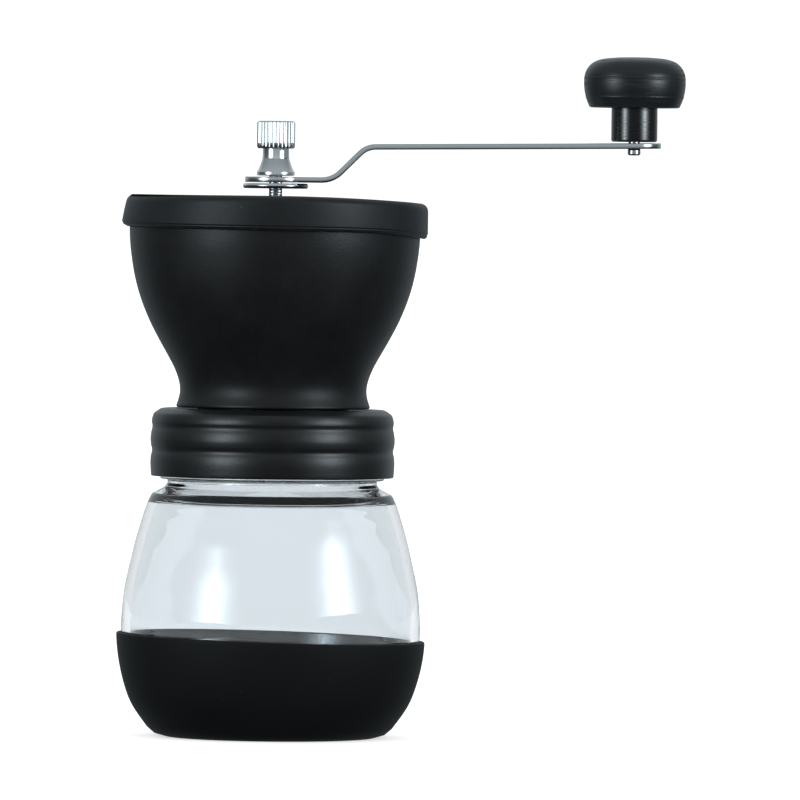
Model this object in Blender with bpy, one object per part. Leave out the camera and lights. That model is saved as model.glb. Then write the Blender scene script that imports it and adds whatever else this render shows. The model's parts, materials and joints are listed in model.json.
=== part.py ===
"""Hand crank coffee grinder with a conical ceramic burr over a glass jar.

Metres, +Z up. The origin is the middle of the base, and every turned piece shares the Z axis,
apart from the knob and its pin, which stand on the end of the crank. Lengths below are in
millimetres and are turned to metres where a mesh is made.
"""

from math import cos, pi, radians, sin, sqrt, tan, tau

import bmesh
import bpy
from mathutils import Matrix, Vector

MM = 0.001
GAP = 0.3  # clearance between pieces that touch on the real grinder

# Segments round a turned piece.
WIDE = 32
NARROW = 16

# Jar and its silicone base.
SLEEVE_WALL = 1.4
GLASS_WALL = 2.6
GLASS_FLOOR_Z = SLEEVE_WALL + GAP
GLASS_FLOOR = 3.6
FOOT_R = 30.5
BELLY = [(34.6, 3.9), (39.8, 12.0), (43.1, 25.0), (42.9, 40.0), (40.0, 54.5), (36.0, 68.0)]
SLEEVE_TOP_Z = 28.0
SHOULDER = [(34.8, 69.9), (32.6, 71.4), (31.0, 72.6)]
NECK_R = 30.4
BEAD_R = 32.5
BEAD_Z = 75.2
MOUTH_Z = 90.5
MOUTH_R = 27.6
JAR_THREAD_R = 31.3
JAR_THREAD_Z = 79.6
JAR_THREAD_TURNS = 1.75
THREAD_PITCH = 4.0
THREAD_HALF_ROOT = 1.0
THREAD_HALF_CREST = 0.35

# Screw collar.
COLLAR_Z = 75.4
COLLAR_R = 35.0
RIB_HEIGHT = 0.45
RIB_TOPS = [78.6, 85.2, 91.4]
COLLAR_TOP_Z = 95.1
SKIRT_R = 33.0
COLLAR_THREAD_R = JAR_THREAD_R + GAP
COLLAR_THREAD_Z = 81.6
COLLAR_THREAD_TURNS = 1.25
COLLAR_SHOULDER_R = 3.4
CEILING_Z = 91.6
SOCKET_R = 22.3
SOCKET_OUTER_R = 25.5
SOCKET_Z = 81.2

# Hopper bowl.
BOWL_Z = COLLAR_TOP_Z + GAP
BOWL = [(28.0, 95.4), (27.15, 98.6), (27.1, 101.2), (27.7, 104.0), (28.9, 107.2), (33.4, 115.1),
        (37.8, 124.4), (40.6, 133.7), (42.0, 143.0), (42.25, 154.0)]
BOWL_WALL = 2.0
BOWL_FLOOR_Z = 98.0
FUNNEL_R = 20.0
SPIGOT_R = SOCKET_R - GAP
SPIGOT_Z = 94.0

# Bridge that carries the shaft.
BRIDGE_Z = BOWL_FLOOR_Z + GAP
BRIDGE_RIM_R = 24.4
BRIDGE_RIM_INNER_R = 21.2
BRIDGE_RIM_HEIGHT = 3.2
ARM_COUNT = 3
ARM_HALF_WIDTH = 1.8
ARM_HEIGHT = 5.1
HUB_R = 6.5
HUB_NECK_R = HUB_R - 0.7
HUB_NECK_Z = 110.0
HUB_TOP_Z = 116.0
BUSH_R = 4.3
BUSH_FLANGE_Z = HUB_TOP_Z + GAP
BUSH_FLANGE = 1.2

# Washers and snap ring on the shaft, above and below the bridge.
WASHER_STACK_R = 5.6
THRUST_WASHER_Z = BUSH_FLANGE_Z + BUSH_FLANGE + GAP
THRUST_WASHER = 0.9
STOP_RING_Z = THRUST_WASHER_Z + THRUST_WASHER + GAP
STOP_RING_R = 5.2
STOP_RING = 1.0
SPRING_WASHER_Z = 97.2
SPRING_WASHER = 0.8

# Shaft.
SHAFT_R = 2.5
SHAFT_BORE_R = SHAFT_R + GAP
SHAFT_FLAT = 1.9  # from the axis to each flat
SHAFT_Z = 75.7
SHAFT_SHOULDER_Z = 158.8
SHAFT_TOP_Z = 176.4
LOWER_FLATS_TOP_Z = 98.5

# Burrs.
BURR_OUTER_R = SOCKET_R - GAP
BURR_RING_Z = SOCKET_Z
BURR_RING_TOP_Z = 93.7
CONE_Z = 80.4
CONE_TOP_Z = 94.5
CONE_R = 16.4
CONE_TOP_R = 7.6
CONE_TEETH = 9
RING_TEETH = 16
RING_BORES = [(BURR_RING_Z, 17.9, 0.5), (84.0, 17.3, 0.9), (89.0, 16.6, 1.5),
              (BURR_RING_TOP_Z, 18.4, 0.6)]  # height, bore radius and tooth depth
RING_LEAD = radians(9)
CONE_CUTS = [(CONE_Z, 0.0), (CONE_Z + 1.2, 0.5), (85.2, 1.5), (90.0, 1.6),
             (CONE_TOP_Z, 0.3)]  # height and tooth depth
CONE_LEAD = radians(16)
SPRING_POCKET_R = 5.9
SPRING_POCKET_Z = 86.0
SPRING_WIRE_R = 0.45
SPRING_COIL_R = 4.6
SPRING_TURNS = 5

# Under the burrs.
LOCK_PLATE_R = 8.6
LOCK_PLATE_Z = 79.2
LOCK_PLATE = 0.9
ADJUSTER_R = 9.2
ADJUSTER_Z = 75.9
ADJUSTER_TOP_Z = 78.9
SCALLOPS = 12
SCALLOP_DEPTH = 0.5
RETAINER_R = 19.2
RETAINER_Z = 79.0
RETAINER_TOP_Z = 80.9

# Lid.
LID_R = 44.6
LID_TOP_Z = 156.9
LID_SKIRT_Z = 146.3
LID_SKIRT_INNER_R = 42.6
LID_EDGE_R = 3.6
LID_HOLE_R = 5.0
LID_THICKNESS = 1.9
LID_LIP = (38.3, 39.9, 3.4)  # inner radius, outer radius and depth of the sealing lip

# Crank, measured at the middle of its bar's thickness.
BAR_HALF_THICKNESS = 0.8
BAR_LOW_Z = 161.6
BAR_HIGH_Z = 171.45  # where the bend ends
BAR_SLOPE = radians(0.85)  # the long run climbs a little towards the knob
BAR_HALF_WIDTH = 7.0
PLATE_R = 8.9
BEND_START_X = 13.3
BEND_R = 7.0
BEND_ANGLE = radians(45)
BAR_END_X = 111.6
KNOB_X = 103.8
BAR_KNOB_Z = 172.5  # its middle under the knob

# Hub washer, nut and knob.
WASHER_R = 9.6
WASHER_Z = 159.0
WASHER_THICKNESS = 1.5
NUT_Z = BAR_LOW_Z + BAR_HALF_THICKNESS + GAP
NUT_HEAD_R = 5.55
NUT_FLUTES = 28
NUT_FLUTE_DEPTH = 0.32
NUT_NECK_R = 3.83
NUT_BASE_R = 5.5
NUT_HEAD_Z = 170.6
NUT_TOP_Z = 178.6
PIN_R = 1.88
PIN_HEAD_R = 3.1
STEM_R = 6.7
STEM_Z = BAR_KNOB_Z + BAR_HALF_THICKNESS + GAP + 0.1
STEM_TOP_Z = 189.0
CAP_Z = 183.6
CAP_TOP_Z = 198.3

# Retaining screws under the burr ring.
SCREW_CIRCLE_R = 23.9
SCREW_COUNT = 3
SCREW_START = radians(30)
SCREW_R = 0.9
SCREW_HOLE_R = 1.25
SCREW_HEAD_R = 1.9
SCREW_HEAD = 1.3
SCREW_Z = 77.4
SCREW_TIP_Z = 88.0
PILOT_R = 0.8  # a small first hole, which a keyed cutter then opens

COLOURS = {
    "silicone": ((0.006, 0.007, 0.008), 0.75, 0.0),
    "glass": ((0.70, 0.78, 0.80), 0.05, 0.0),
    "black_plastic": ((0.014, 0.016, 0.018), 0.5, 0.0),
    "lid_plastic": ((0.016, 0.018, 0.021), 0.6, 0.0),
    "gloss_plastic": ((0.012, 0.014, 0.016), 0.15, 0.0),
    "acetal": ((0.75, 0.75, 0.72), 0.4, 0.0),
    "ceramic": ((0.85, 0.84, 0.80), 0.35, 0.0),
    "stainless": ((0.62, 0.62, 0.62), 0.22, 1.0),
    "chrome": ((0.75, 0.75, 0.76), 0.08, 1.0),
    "spring_steel": ((0.45, 0.45, 0.46), 0.3, 1.0),
}


def clear_scene():
    for obj in list(bpy.data.objects):
        bpy.data.objects.remove(obj)


def material(name):
    found = bpy.data.materials.get(name)
    if found:
        return found
    colour, roughness, metallic = COLOURS[name]
    made = bpy.data.materials.new(name)
    made.use_nodes = True
    shader = made.node_tree.nodes["Principled BSDF"]
    shader.inputs["Base Color"].default_value = (*colour, 1.0)
    shader.inputs["Roughness"].default_value = roughness
    shader.inputs["Metallic"].default_value = metallic
    if name == "glass":
        shader.inputs["Transmission Weight"].default_value = 1.0
    return made


def finish(bm, name, finish_name, smooth=True):
    """The bmesh, which is in millimetres, as a named object in metres."""
    bmesh.ops.scale(bm, vec=(MM, MM, MM), verts=bm.verts)
    mesh = bpy.data.meshes.new(name)
    bm.to_mesh(mesh)
    bm.free()
    if smooth:
        mesh.shade_smooth()
        mesh.set_sharp_from_angle(angle=radians(35))
    mesh.materials.append(material(finish_name))
    obj = bpy.data.objects.new(name, mesh)
    bpy.context.scene.collection.objects.link(obj)
    return obj


def arc(centre, radius, start, end, steps):
    """Points along an arc in the (r, z) plane, with its angles in degrees."""
    points = []
    for i in range(steps + 1):
        angle = radians(start + (end - start) * i / steps)
        points.append((centre[0] + radius * cos(angle), centre[1] + radius * sin(angle)))
    return points


def smooth_curve(points, steps):
    """A Catmull-Rom curve through the points, with this many steps in each span."""
    ends = [points[0], *points, points[-1]]
    curve = []
    for a, b, c, d in zip(ends, ends[1:], ends[2:], ends[3:]):
        for i in range(steps):
            t = i / steps
            curve.append(tuple(
                0.5 * (2 * b[k] + (c[k] - a[k]) * t
                       + (2 * a[k] - 5 * b[k] + 4 * c[k] - d[k]) * t * t
                       + (3 * b[k] - a[k] - 3 * c[k] + d[k]) * t ** 3)
                for k in (0, 1)))
    return [*curve, points[-1]]


def offset(points, distance):
    """The open curve moved sideways, away from the axis when it runs upwards."""
    moved = []
    for i, (r, z) in enumerate(points):
        before, after = points[max(i - 1, 0)], points[min(i + 1, len(points) - 1)]
        run = Vector((after[0] - before[0], after[1] - before[1])).normalized()
        moved.append((r + run.y * distance, z - run.x * distance))
    return moved


def turned(profile, segments):
    """A bmesh of the closed (r, z) outline turned about Z. Points at r = 0 lie on the axis."""
    bm = bmesh.new()
    verts = [bm.verts.new((r, 0, z)) for r, z in profile]
    edges = []
    for a, b in zip(verts, verts[1:] + verts[:1]):
        if a.co.x > 0 or b.co.x > 0:
            edges.append(bm.edges.new((a, b)))
    bmesh.ops.spin(bm, geom=verts + edges, axis=(0, 0, 1), cent=(0, 0, 0), steps=segments,
                   angle=tau, use_merge=True)
    bmesh.ops.remove_doubles(bm, verts=bm.verts, dist=0.001)
    bmesh.ops.recalc_face_normals(bm, faces=bm.faces)
    return bm


def stacked(levels, radius_at, segments):
    """A closed form through rings at the given heights, with radius_at(angle, level index).

    The last ring joins the first, and rings of no radius close on the axis.
    """
    bm = bmesh.new()
    rings = []
    for level, z in enumerate(levels):
        ring = []
        for i in range(segments):
            angle = tau * i / segments
            r = radius_at(angle, level)
            ring.append(bm.verts.new((r * cos(angle), r * sin(angle), z)))
        rings.append(ring)
    for low, high in zip(rings, rings[1:] + rings[:1]):
        for i in range(segments):
            j = (i + 1) % segments
            bm.faces.new((low[i], low[j], high[j], high[i]))
    bmesh.ops.remove_doubles(bm, verts=bm.verts, dist=0.001)
    loose = [edge for edge in bm.edges if not edge.link_faces]
    bmesh.ops.delete(bm, geom=loose, context="EDGES")
    bmesh.ops.recalc_face_normals(bm, faces=bm.faces)
    return bm


def cutter_of(bm, name):
    obj = finish(bm, name, "stainless", smooth=False)
    obj.hide_render = True
    obj.display_type = "WIRE"
    return obj


def boolean(obj, other, operation):
    modifier = obj.modifiers.new(operation.lower(), "BOOLEAN")
    modifier.operation = operation
    modifier.solver = "EXACT"
    modifier.object = other


def helical_ridge(root_r, crest_r, low_z, turns):
    """A thread ridge from root_r to crest_r that fades out at both ends, as a closed bmesh."""
    bm = bmesh.new()
    steps = int(turns * NARROW)
    rings = []
    for i in range(steps + 1):
        angle = tau * i / NARROW
        fade = min(1.0, 6 * i / steps, 6 * (steps - i) / steps)
        crest = root_r + (crest_r - root_r) * max(fade, 0.3)
        z = low_z + THREAD_PITCH * i / NARROW
        section = [(root_r, z - THREAD_HALF_ROOT), (crest, z - THREAD_HALF_CREST),
                   (crest, z + THREAD_HALF_CREST), (root_r, z + THREAD_HALF_ROOT)]
        rings.append([bm.verts.new((r * cos(angle), r * sin(angle), h)) for r, h in section])
    for a, b in zip(rings, rings[1:]):
        for k in range(4):
            bm.faces.new((a[k], a[(k + 1) % 4], b[(k + 1) % 4], b[k]))
    bm.faces.new(rings[0])
    bm.faces.new(rings[-1][::-1])
    bmesh.ops.recalc_face_normals(bm, faces=bm.faces)
    return bm


def box(centre, size, turn=0.0):
    bm = bmesh.new()
    bmesh.ops.create_cube(bm, size=1.0)
    bmesh.ops.scale(bm, vec=size, verts=bm.verts)
    bmesh.ops.translate(bm, vec=centre, verts=bm.verts)
    bmesh.ops.rotate(bm, matrix=Matrix.Rotation(turn, 3, "Z"), verts=bm.verts)
    return bm


def rod(radius, low_z, high_z, x=0.0, y=0.0, segments=NARROW):
    bm = bmesh.new()
    bmesh.ops.create_cone(bm, cap_ends=True, segments=segments, radius1=radius, radius2=radius,
                          depth=high_z - low_z)
    bmesh.ops.translate(bm, vec=(x, y, (low_z + high_z) / 2), verts=bm.verts)
    return bm


def ring(name, finish_name, inner_r, outer_r, low_z, high_z, segments=NARROW, edge=0.2):
    """A flat ring with small chamfers on its outer edges."""
    bm = turned([(inner_r, low_z), (outer_r - edge, low_z), (outer_r, low_z + edge),
                 (outer_r, high_z - edge), (outer_r - edge, high_z), (inner_r, high_z)], segments)
    return finish(bm, name, finish_name)


def flatted_outline(radius, flat, segments):
    """A circle cut by two flats, as points (x, y)."""
    points = []
    for i in range(segments):
        angle = tau * i / segments
        points.append((max(-flat, min(flat, radius * cos(angle))), radius * sin(angle)))
    return points


def flatted_cutter(name, radius, flat, low_z, high_z):
    bm = bmesh.new()
    outline = flatted_outline(radius, flat, NARROW)
    face = bm.faces.new([bm.verts.new((x, y, low_z)) for x, y in outline])
    lifted = bmesh.ops.extrude_face_region(bm, geom=[face])
    verts = [v for v in lifted["geom"] if isinstance(v, bmesh.types.BMVert)]
    bmesh.ops.translate(bm, vec=(0, 0, high_z - low_z), verts=verts)
    bmesh.ops.recalc_face_normals(bm, faces=bm.faces)
    return cutter_of(bm, name)


def screw_place(number):
    """The (x, y) of one of the retaining screws."""
    angle = SCREW_START + tau * number / SCREW_COUNT
    return SCREW_CIRCLE_R * cos(angle), SCREW_CIRCLE_R * sin(angle)


def jar_side():
    """The glass jar's outer side, from the edge of its foot up to its shoulder."""
    return [(FOOT_R, GLASS_FLOOR_Z), (FOOT_R + 2.4, 2.4), *smooth_curve(BELLY, 2)]


def make_silicone_base():
    wall = [point for point in jar_side() if point[1] < SLEEVE_TOP_Z]
    outer = offset(wall, SLEEVE_WALL + GAP)[1:]
    inner = offset(wall, GAP)[1:]
    profile = [(0, 0), (FOOT_R, 0), *outer, (outer[-1][0], SLEEVE_TOP_Z - 0.4),
               (outer[-1][0] - 0.4, SLEEVE_TOP_Z), (inner[-1][0], SLEEVE_TOP_Z), *inner[::-1],
               (FOOT_R, SLEEVE_WALL), (0, SLEEVE_WALL)]
    return finish(turned(profile, WIDE), "silicone_base", "silicone")


def make_glass_jar():
    side = jar_side()
    hollow = [point for point in offset(side, -GLASS_WALL) if point[1] > 9.0]
    profile = [(0, GLASS_FLOOR_Z), *side, *SHOULDER,
               (NECK_R, 73.6), (NECK_R, 74.2), *arc((BEAD_R - 0.9, BEAD_Z), 0.9, -60, 60, 2),
               (NECK_R, 76.4), (NECK_R, MOUTH_Z - 0.8), (NECK_R - 0.8, MOUTH_Z),
               (MOUTH_R + 0.6, MOUTH_Z), (MOUTH_R, MOUTH_Z - 0.6), (MOUTH_R, 73.0),
               (30.0, 69.4), *hollow[::-1], (32.6, 6.9), (28.0, GLASS_FLOOR_Z + GLASS_FLOOR),
               (0, GLASS_FLOOR_Z + GLASS_FLOOR)]
    jar = finish(turned(profile, WIDE), "glass_jar", "glass")
    ridge = helical_ridge(NECK_R - 1.2, JAR_THREAD_R, JAR_THREAD_Z, JAR_THREAD_TURNS)
    boolean(jar, cutter_of(ridge, "jar_thread"), "UNION")
    return jar


def rib_profile():
    """The collar's outer side from its top shoulder down: three soft ribs between grooves."""
    grooves = [(RIB_TOPS[0] + RIB_TOPS[1]) / 2, (RIB_TOPS[1] + RIB_TOPS[2]) / 2]
    shoulder_centre = (COLLAR_R + RIB_HEIGHT - COLLAR_SHOULDER_R, COLLAR_TOP_Z - COLLAR_SHOULDER_R)
    points = arc(shoulder_centre, COLLAR_SHOULDER_R, 90, 12, 5)
    for high, low in zip(reversed(grooves), [RIB_TOPS[1], RIB_TOPS[0]]):
        points += [(COLLAR_R + RIB_HEIGHT * 0.5, high + 0.9), (COLLAR_R, high),
                   (COLLAR_R + RIB_HEIGHT * 0.5, high - 0.9), (COLLAR_R + RIB_HEIGHT, low + 1.2),
                   (COLLAR_R + RIB_HEIGHT, low - 1.2)]
    return [*points, (COLLAR_R + 0.1, COLLAR_Z)]


def make_threaded_collar():
    """A ribbed skirt, a ceiling, and the socket that holds the burr ring."""
    profile = [*rib_profile(), (SKIRT_R, COLLAR_Z), (SKIRT_R, CEILING_Z),
               (SOCKET_OUTER_R, CEILING_Z), (SOCKET_OUTER_R, SOCKET_Z), (SOCKET_R, SOCKET_Z),
               (SOCKET_R, COLLAR_TOP_Z)]
    collar = finish(turned(profile[::-1], WIDE), "threaded_collar", "black_plastic")
    ridge = helical_ridge(SKIRT_R + 1.0, COLLAR_THREAD_R, COLLAR_THREAD_Z, COLLAR_THREAD_TURNS)
    boolean(collar, cutter_of(ridge, "collar_thread"), "UNION")
    for i in range(SCREW_COUNT):
        hole = rod(SCREW_HOLE_R, SOCKET_Z - 1, SCREW_TIP_Z + 0.8, *screw_place(i), 10)
        boolean(collar, cutter_of(hole, f"collar_hole_{i + 1}"), "DIFFERENCE")
    return collar


def make_hopper_bowl():
    outer = BOWL
    inner = [point for point in offset(outer, -BOWL_WALL) if point[1] > BOWL_FLOOR_Z + 0.6]
    profile = [(FUNNEL_R, SPIGOT_Z), (SPIGOT_R, SPIGOT_Z), (SPIGOT_R, BOWL_Z), *outer,
               (inner[-1][0], outer[-1][1]), *inner[::-1], (24.9, BOWL_FLOOR_Z),
               (FUNNEL_R + 1.0, BOWL_FLOOR_Z), (FUNNEL_R, BOWL_FLOOR_Z - 1.0)]
    return finish(turned(profile, WIDE), "hopper_bowl", "black_plastic")


def make_bearing_bridge():
    """A rim and a tall hub joined by three arms."""
    rim_top = BRIDGE_Z + BRIDGE_RIM_HEIGHT
    rim = turned([(BRIDGE_RIM_INNER_R, BRIDGE_Z), (BRIDGE_RIM_R, BRIDGE_Z),
                  (BRIDGE_RIM_R, rim_top - 0.5), (BRIDGE_RIM_R - 0.5, rim_top),
                  (BRIDGE_RIM_INNER_R, rim_top)], 36)
    bridge = finish(rim, "bearing_bridge", "black_plastic")
    hub = turned([(BUSH_R + GAP, BRIDGE_Z), (HUB_R, BRIDGE_Z), (HUB_R, BRIDGE_Z + ARM_HEIGHT + 1),
                  (HUB_NECK_R, HUB_NECK_Z), (HUB_NECK_R, HUB_TOP_Z), (BUSH_R + GAP, HUB_TOP_Z)],
                 NARROW)
    boolean(bridge, cutter_of(hub, "bridge_hub"), "UNION")
    inner, outer = HUB_NECK_R, BRIDGE_RIM_INNER_R + 1.2
    for i in range(ARM_COUNT):
        turn = pi / 3 + tau * i / ARM_COUNT
        arm = box(((inner + outer) / 2, 0, BRIDGE_Z + 0.1 + (ARM_HEIGHT - 0.1) / 2),
                  (outer - inner, 2 * ARM_HALF_WIDTH, ARM_HEIGHT - 0.1), turn)
        boolean(bridge, cutter_of(arm, f"bridge_arm_{i + 1}"), "UNION")
    return bridge


def make_shaft_bushing():
    top = BUSH_FLANGE_Z + BUSH_FLANGE
    bm = turned([(SHAFT_BORE_R, BRIDGE_Z), (BUSH_R, BRIDGE_Z), (BUSH_R, BUSH_FLANGE_Z),
                 (HUB_NECK_R + 0.1, BUSH_FLANGE_Z), (HUB_NECK_R + 0.1, top), (SHAFT_BORE_R, top)],
                NARROW)
    return finish(bm, "shaft_bushing", "acetal")


def make_drive_shaft():
    bm = turned([(0, SHAFT_Z), (SHAFT_R - 0.4, SHAFT_Z), (SHAFT_R, SHAFT_Z + 0.4),
                 (SHAFT_R, SHAFT_TOP_Z - 0.6), (SHAFT_R - 0.6, SHAFT_TOP_Z), (0, SHAFT_TOP_Z)],
                NARROW)
    shaft = finish(bm, "drive_shaft", "stainless")
    ends = [("upper", SHAFT_SHOULDER_Z, SHAFT_TOP_Z + 1), ("lower", SHAFT_Z - 1, LOWER_FLATS_TOP_Z)]
    for end, low, high in ends:
        for side in (-1, 1):
            flat = box((side * (SHAFT_FLAT + 2), 0, (low + high) / 2), (4, 8, high - low))
            boolean(shaft, cutter_of(flat, f"shaft_flat_{end}_{side + 1}"), "DIFFERENCE")
    return shaft


def make_stop_ring():
    """An open snap ring on the shaft, which rests on the thrust washer."""
    clip = ring("shaft_stop_ring", "spring_steel", SHAFT_BORE_R, STOP_RING_R, STOP_RING_Z,
                STOP_RING_Z + STOP_RING)
    slot = box((0, 4, STOP_RING_Z + STOP_RING / 2), (2.6, 6, 3))
    boolean(clip, cutter_of(slot, "stop_ring_slot"), "DIFFERENCE")
    return clip


def make_thrust_washer():
    return ring("thrust_washer", "stainless", SHAFT_BORE_R, WASHER_STACK_R, THRUST_WASHER_Z,
                THRUST_WASHER_Z + THRUST_WASHER, edge=0.15)


def make_spring_washer():
    return ring("spring_washer", "stainless", SHAFT_BORE_R, WASHER_STACK_R, SPRING_WASHER_Z,
                SPRING_WASHER_Z + SPRING_WASHER, edge=0.15)


def make_burr_spring():
    """A round wire wound from the pocket in the cone up to the washer under the bridge."""
    low = SPRING_POCKET_Z + GAP + SPRING_WIRE_R
    high = SPRING_WASHER_Z - GAP - SPRING_WIRE_R
    steps = 12
    curve = bpy.data.curves.new("burr_spring", "CURVE")
    curve.dimensions = "3D"
    curve.bevel_depth = SPRING_WIRE_R * MM
    curve.bevel_resolution = 1
    curve.use_fill_caps = True
    spline = curve.splines.new("POLY")
    count = SPRING_TURNS * steps
    spline.points.add(count)
    for i in range(count + 1):
        angle = tau * i / steps
        z = low + (high - low) * i / count
        x, y = SPRING_COIL_R * cos(angle), SPRING_COIL_R * sin(angle)
        spline.points[i].co = (x * MM, y * MM, z * MM, 1)
    curve.materials.append(material("spring_steel"))
    obj = bpy.data.objects.new("burr_spring", curve)
    bpy.context.scene.collection.objects.link(obj)
    return obj


def tooth(angle, count, depth):
    """A saw tooth between 0 and depth, with this many round the circle."""
    share = (angle * count / tau) % 1.0
    return depth * (share / 0.75 if share < 0.75 else (1 - share) / 0.25)


def make_outer_burr():
    """A ceramic ring whose toothed bore narrows and then opens again at the bottom."""
    levels = [*(z for z, _, _ in RING_BORES), BURR_RING_TOP_Z, BURR_RING_Z]

    def radius_at(angle, level):
        if level >= len(RING_BORES):
            return BURR_OUTER_R
        _, bore, depth = RING_BORES[level]
        return bore + tooth(angle + RING_LEAD * level, RING_TEETH, depth)

    return finish(stacked(levels, radius_at, RING_TEETH * 4), "outer_burr", "ceramic")


def make_inner_burr():
    """A ceramic cone with slanting teeth, a bore for the shaft and a pocket for the spring."""
    bore = [(SPRING_POCKET_R, CONE_TOP_Z), (SPRING_POCKET_R, SPRING_POCKET_Z),
            (SHAFT_BORE_R, SPRING_POCKET_Z), (SHAFT_BORE_R, CONE_Z)]
    levels = [*(z for z, _ in CONE_CUTS), *(z for _, z in bore)]
    skirt_top = CONE_CUTS[1][0]

    def radius_at(angle, level):
        if level >= len(CONE_CUTS):
            return bore[level - len(CONE_CUTS)][0]
        height, depth = CONE_CUTS[level]
        rise = max(0.0, (height - skirt_top) / (CONE_TOP_Z - skirt_top))
        edge = CONE_R + (CONE_TOP_R - CONE_R) * rise
        return edge - tooth(angle + CONE_LEAD * level, CONE_TEETH, depth)

    return finish(stacked(levels, radius_at, CONE_TEETH * 6), "inner_burr", "ceramic")


def make_lock_plate():
    """A keyed plate that turns the cone with the shaft's flats."""
    top = LOCK_PLATE_Z + LOCK_PLATE
    plate = ring("lock_plate", "stainless", PILOT_R, LOCK_PLATE_R, LOCK_PLATE_Z, top)
    keyed = flatted_cutter("lock_plate_hole", SHAFT_BORE_R, SHAFT_FLAT + GAP, LOCK_PLATE_Z - 1,
                           top + 1)
    boolean(plate, keyed, "DIFFERENCE")
    return plate


def make_adjusting_nut():
    """A flat nut with a scalloped rim for fingers."""
    low, high, edge = ADJUSTER_Z, ADJUSTER_TOP_Z, 0.5
    rim = [(low, edge), (low + edge, 0.0), (high - edge, 0.0), (high, edge)]
    levels = [*(z for z, _ in rim), high, low]

    def radius_at(angle, level):
        if level >= len(rim):
            return SHAFT_BORE_R
        return ADJUSTER_R - rim[level][1] + SCALLOP_DEPTH * cos(SCALLOPS * angle)

    return finish(stacked(levels, radius_at, SCALLOPS * 4), "adjusting_nut", "gloss_plastic")


def make_retainer_ring():
    holder = ring("burr_retainer_ring", "black_plastic", RETAINER_R, SOCKET_OUTER_R, RETAINER_Z,
                  RETAINER_TOP_Z, 36)
    for i in range(SCREW_COUNT):
        hole = rod(SCREW_HOLE_R, RETAINER_Z - 1, RETAINER_TOP_Z + 1, *screw_place(i), 10)
        boolean(holder, cutter_of(hole, f"retainer_hole_{i + 1}"), "DIFFERENCE")
    return holder


def make_retainer_screw(number):
    """A pan-head screw that points up, with a cross cut in its head."""
    x, y = screw_place(number)
    low, seat = SCREW_Z, SCREW_Z + SCREW_HEAD
    bm = turned([(0, low), (SCREW_HEAD_R - 0.7, low), (SCREW_HEAD_R - 0.15, low + 0.3),
                 (SCREW_HEAD_R, low + 0.8), (SCREW_HEAD_R, seat), (SCREW_R, seat),
                 (SCREW_R, SCREW_TIP_Z - 0.8), (0, SCREW_TIP_Z)], 12)
    screw = finish(bm, f"retainer_screw_{number + 1}", "stainless")
    for i, turn in enumerate((0, pi / 2)):
        slot = box((0, 0, SCREW_Z), (2.2, 0.4, 1.0), turn)
        cutter = cutter_of(slot, f"screw_slot_{number + 1}_{i + 1}")
        boolean(screw, cutter, "DIFFERENCE")
        cutter.location = (x * MM, y * MM, 0)
    screw.location = (x * MM, y * MM, 0)
    return screw


def make_lid():
    """A soft cap: a flat top with a hole, a skirt outside the rim and a lip inside it."""
    edge_centre = (LID_R - LID_EDGE_R, LID_TOP_Z - LID_EDGE_R)
    under = LID_TOP_Z - LID_THICKNESS
    lip_inner, lip_outer, lip_depth = LID_LIP
    profile = [(LID_HOLE_R, under), (lip_inner, under), (lip_inner + 0.2, under - lip_depth),
               (lip_outer - 0.2, under - lip_depth), (lip_outer, under),
               (LID_SKIRT_INNER_R - 0.5, under),
               (LID_SKIRT_INNER_R, under - 0.5), (LID_SKIRT_INNER_R, LID_SKIRT_Z),
               (LID_R - 0.3, LID_SKIRT_Z), (LID_R, LID_SKIRT_Z + 0.5),
               *arc(edge_centre, LID_EDGE_R, 0, 90, 5), (LID_HOLE_R, LID_TOP_Z)]
    return finish(turned(profile, WIDE), "lid", "lid_plastic")


def bar_path():
    """The crank bar's centre line from the hub to its end, as (x, z, slope angle)."""
    upper_drop = BEND_R * (cos(BAR_SLOPE) - cos(BEND_ANGLE))
    rise = BAR_HIGH_Z - BAR_LOW_Z
    straight = (rise - BEND_R * (1 - cos(BEND_ANGLE)) - upper_drop) / sin(BEND_ANGLE)
    steps = 5
    points = [(-PLATE_R * cos(pi * i / 20), BAR_LOW_Z, 0.0) for i in range(10)]
    points += [(x, BAR_LOW_Z, 0.0) for x in (1.5, 3.6, 5.4, 9.0)]
    for i in range(steps + 1):
        a = BEND_ANGLE * i / steps
        points.append((BEND_START_X + BEND_R * sin(a), BAR_LOW_Z + BEND_R * (1 - cos(a)), a))
    centre_x = points[-1][0] + straight * cos(BEND_ANGLE) + BEND_R * sin(BEND_ANGLE)
    centre_z = BAR_HIGH_Z - BEND_R * cos(BAR_SLOPE)
    for i in range(steps, -1, -1):
        a = BAR_SLOPE + (BEND_ANGLE - BAR_SLOPE) * i / steps
        points.append((centre_x - BEND_R * sin(a), centre_z + BEND_R * cos(a), a))
    end_centre = BAR_END_X - BAR_HALF_WIDTH
    for i in range(11):
        x = end_centre + BAR_HALF_WIDTH * sin(pi * i / 20)
        points.append((x, BAR_KNOB_Z + (x - KNOB_X) * tan(BAR_SLOPE), BAR_SLOPE))
    return points


def bar_half_width(x):
    """The round plate at the hub runs into a strip, which ends in a half circle."""
    end_centre = BAR_END_X - BAR_HALF_WIDTH
    if x > end_centre:
        return sqrt(max(0.0, BAR_HALF_WIDTH ** 2 - (x - end_centre) ** 2))
    plate = sqrt(max(0.0, PLATE_R ** 2 - x * x)) if abs(x) < PLATE_R else 0.0
    return plate if x < 0 else max(plate, BAR_HALF_WIDTH)


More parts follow.
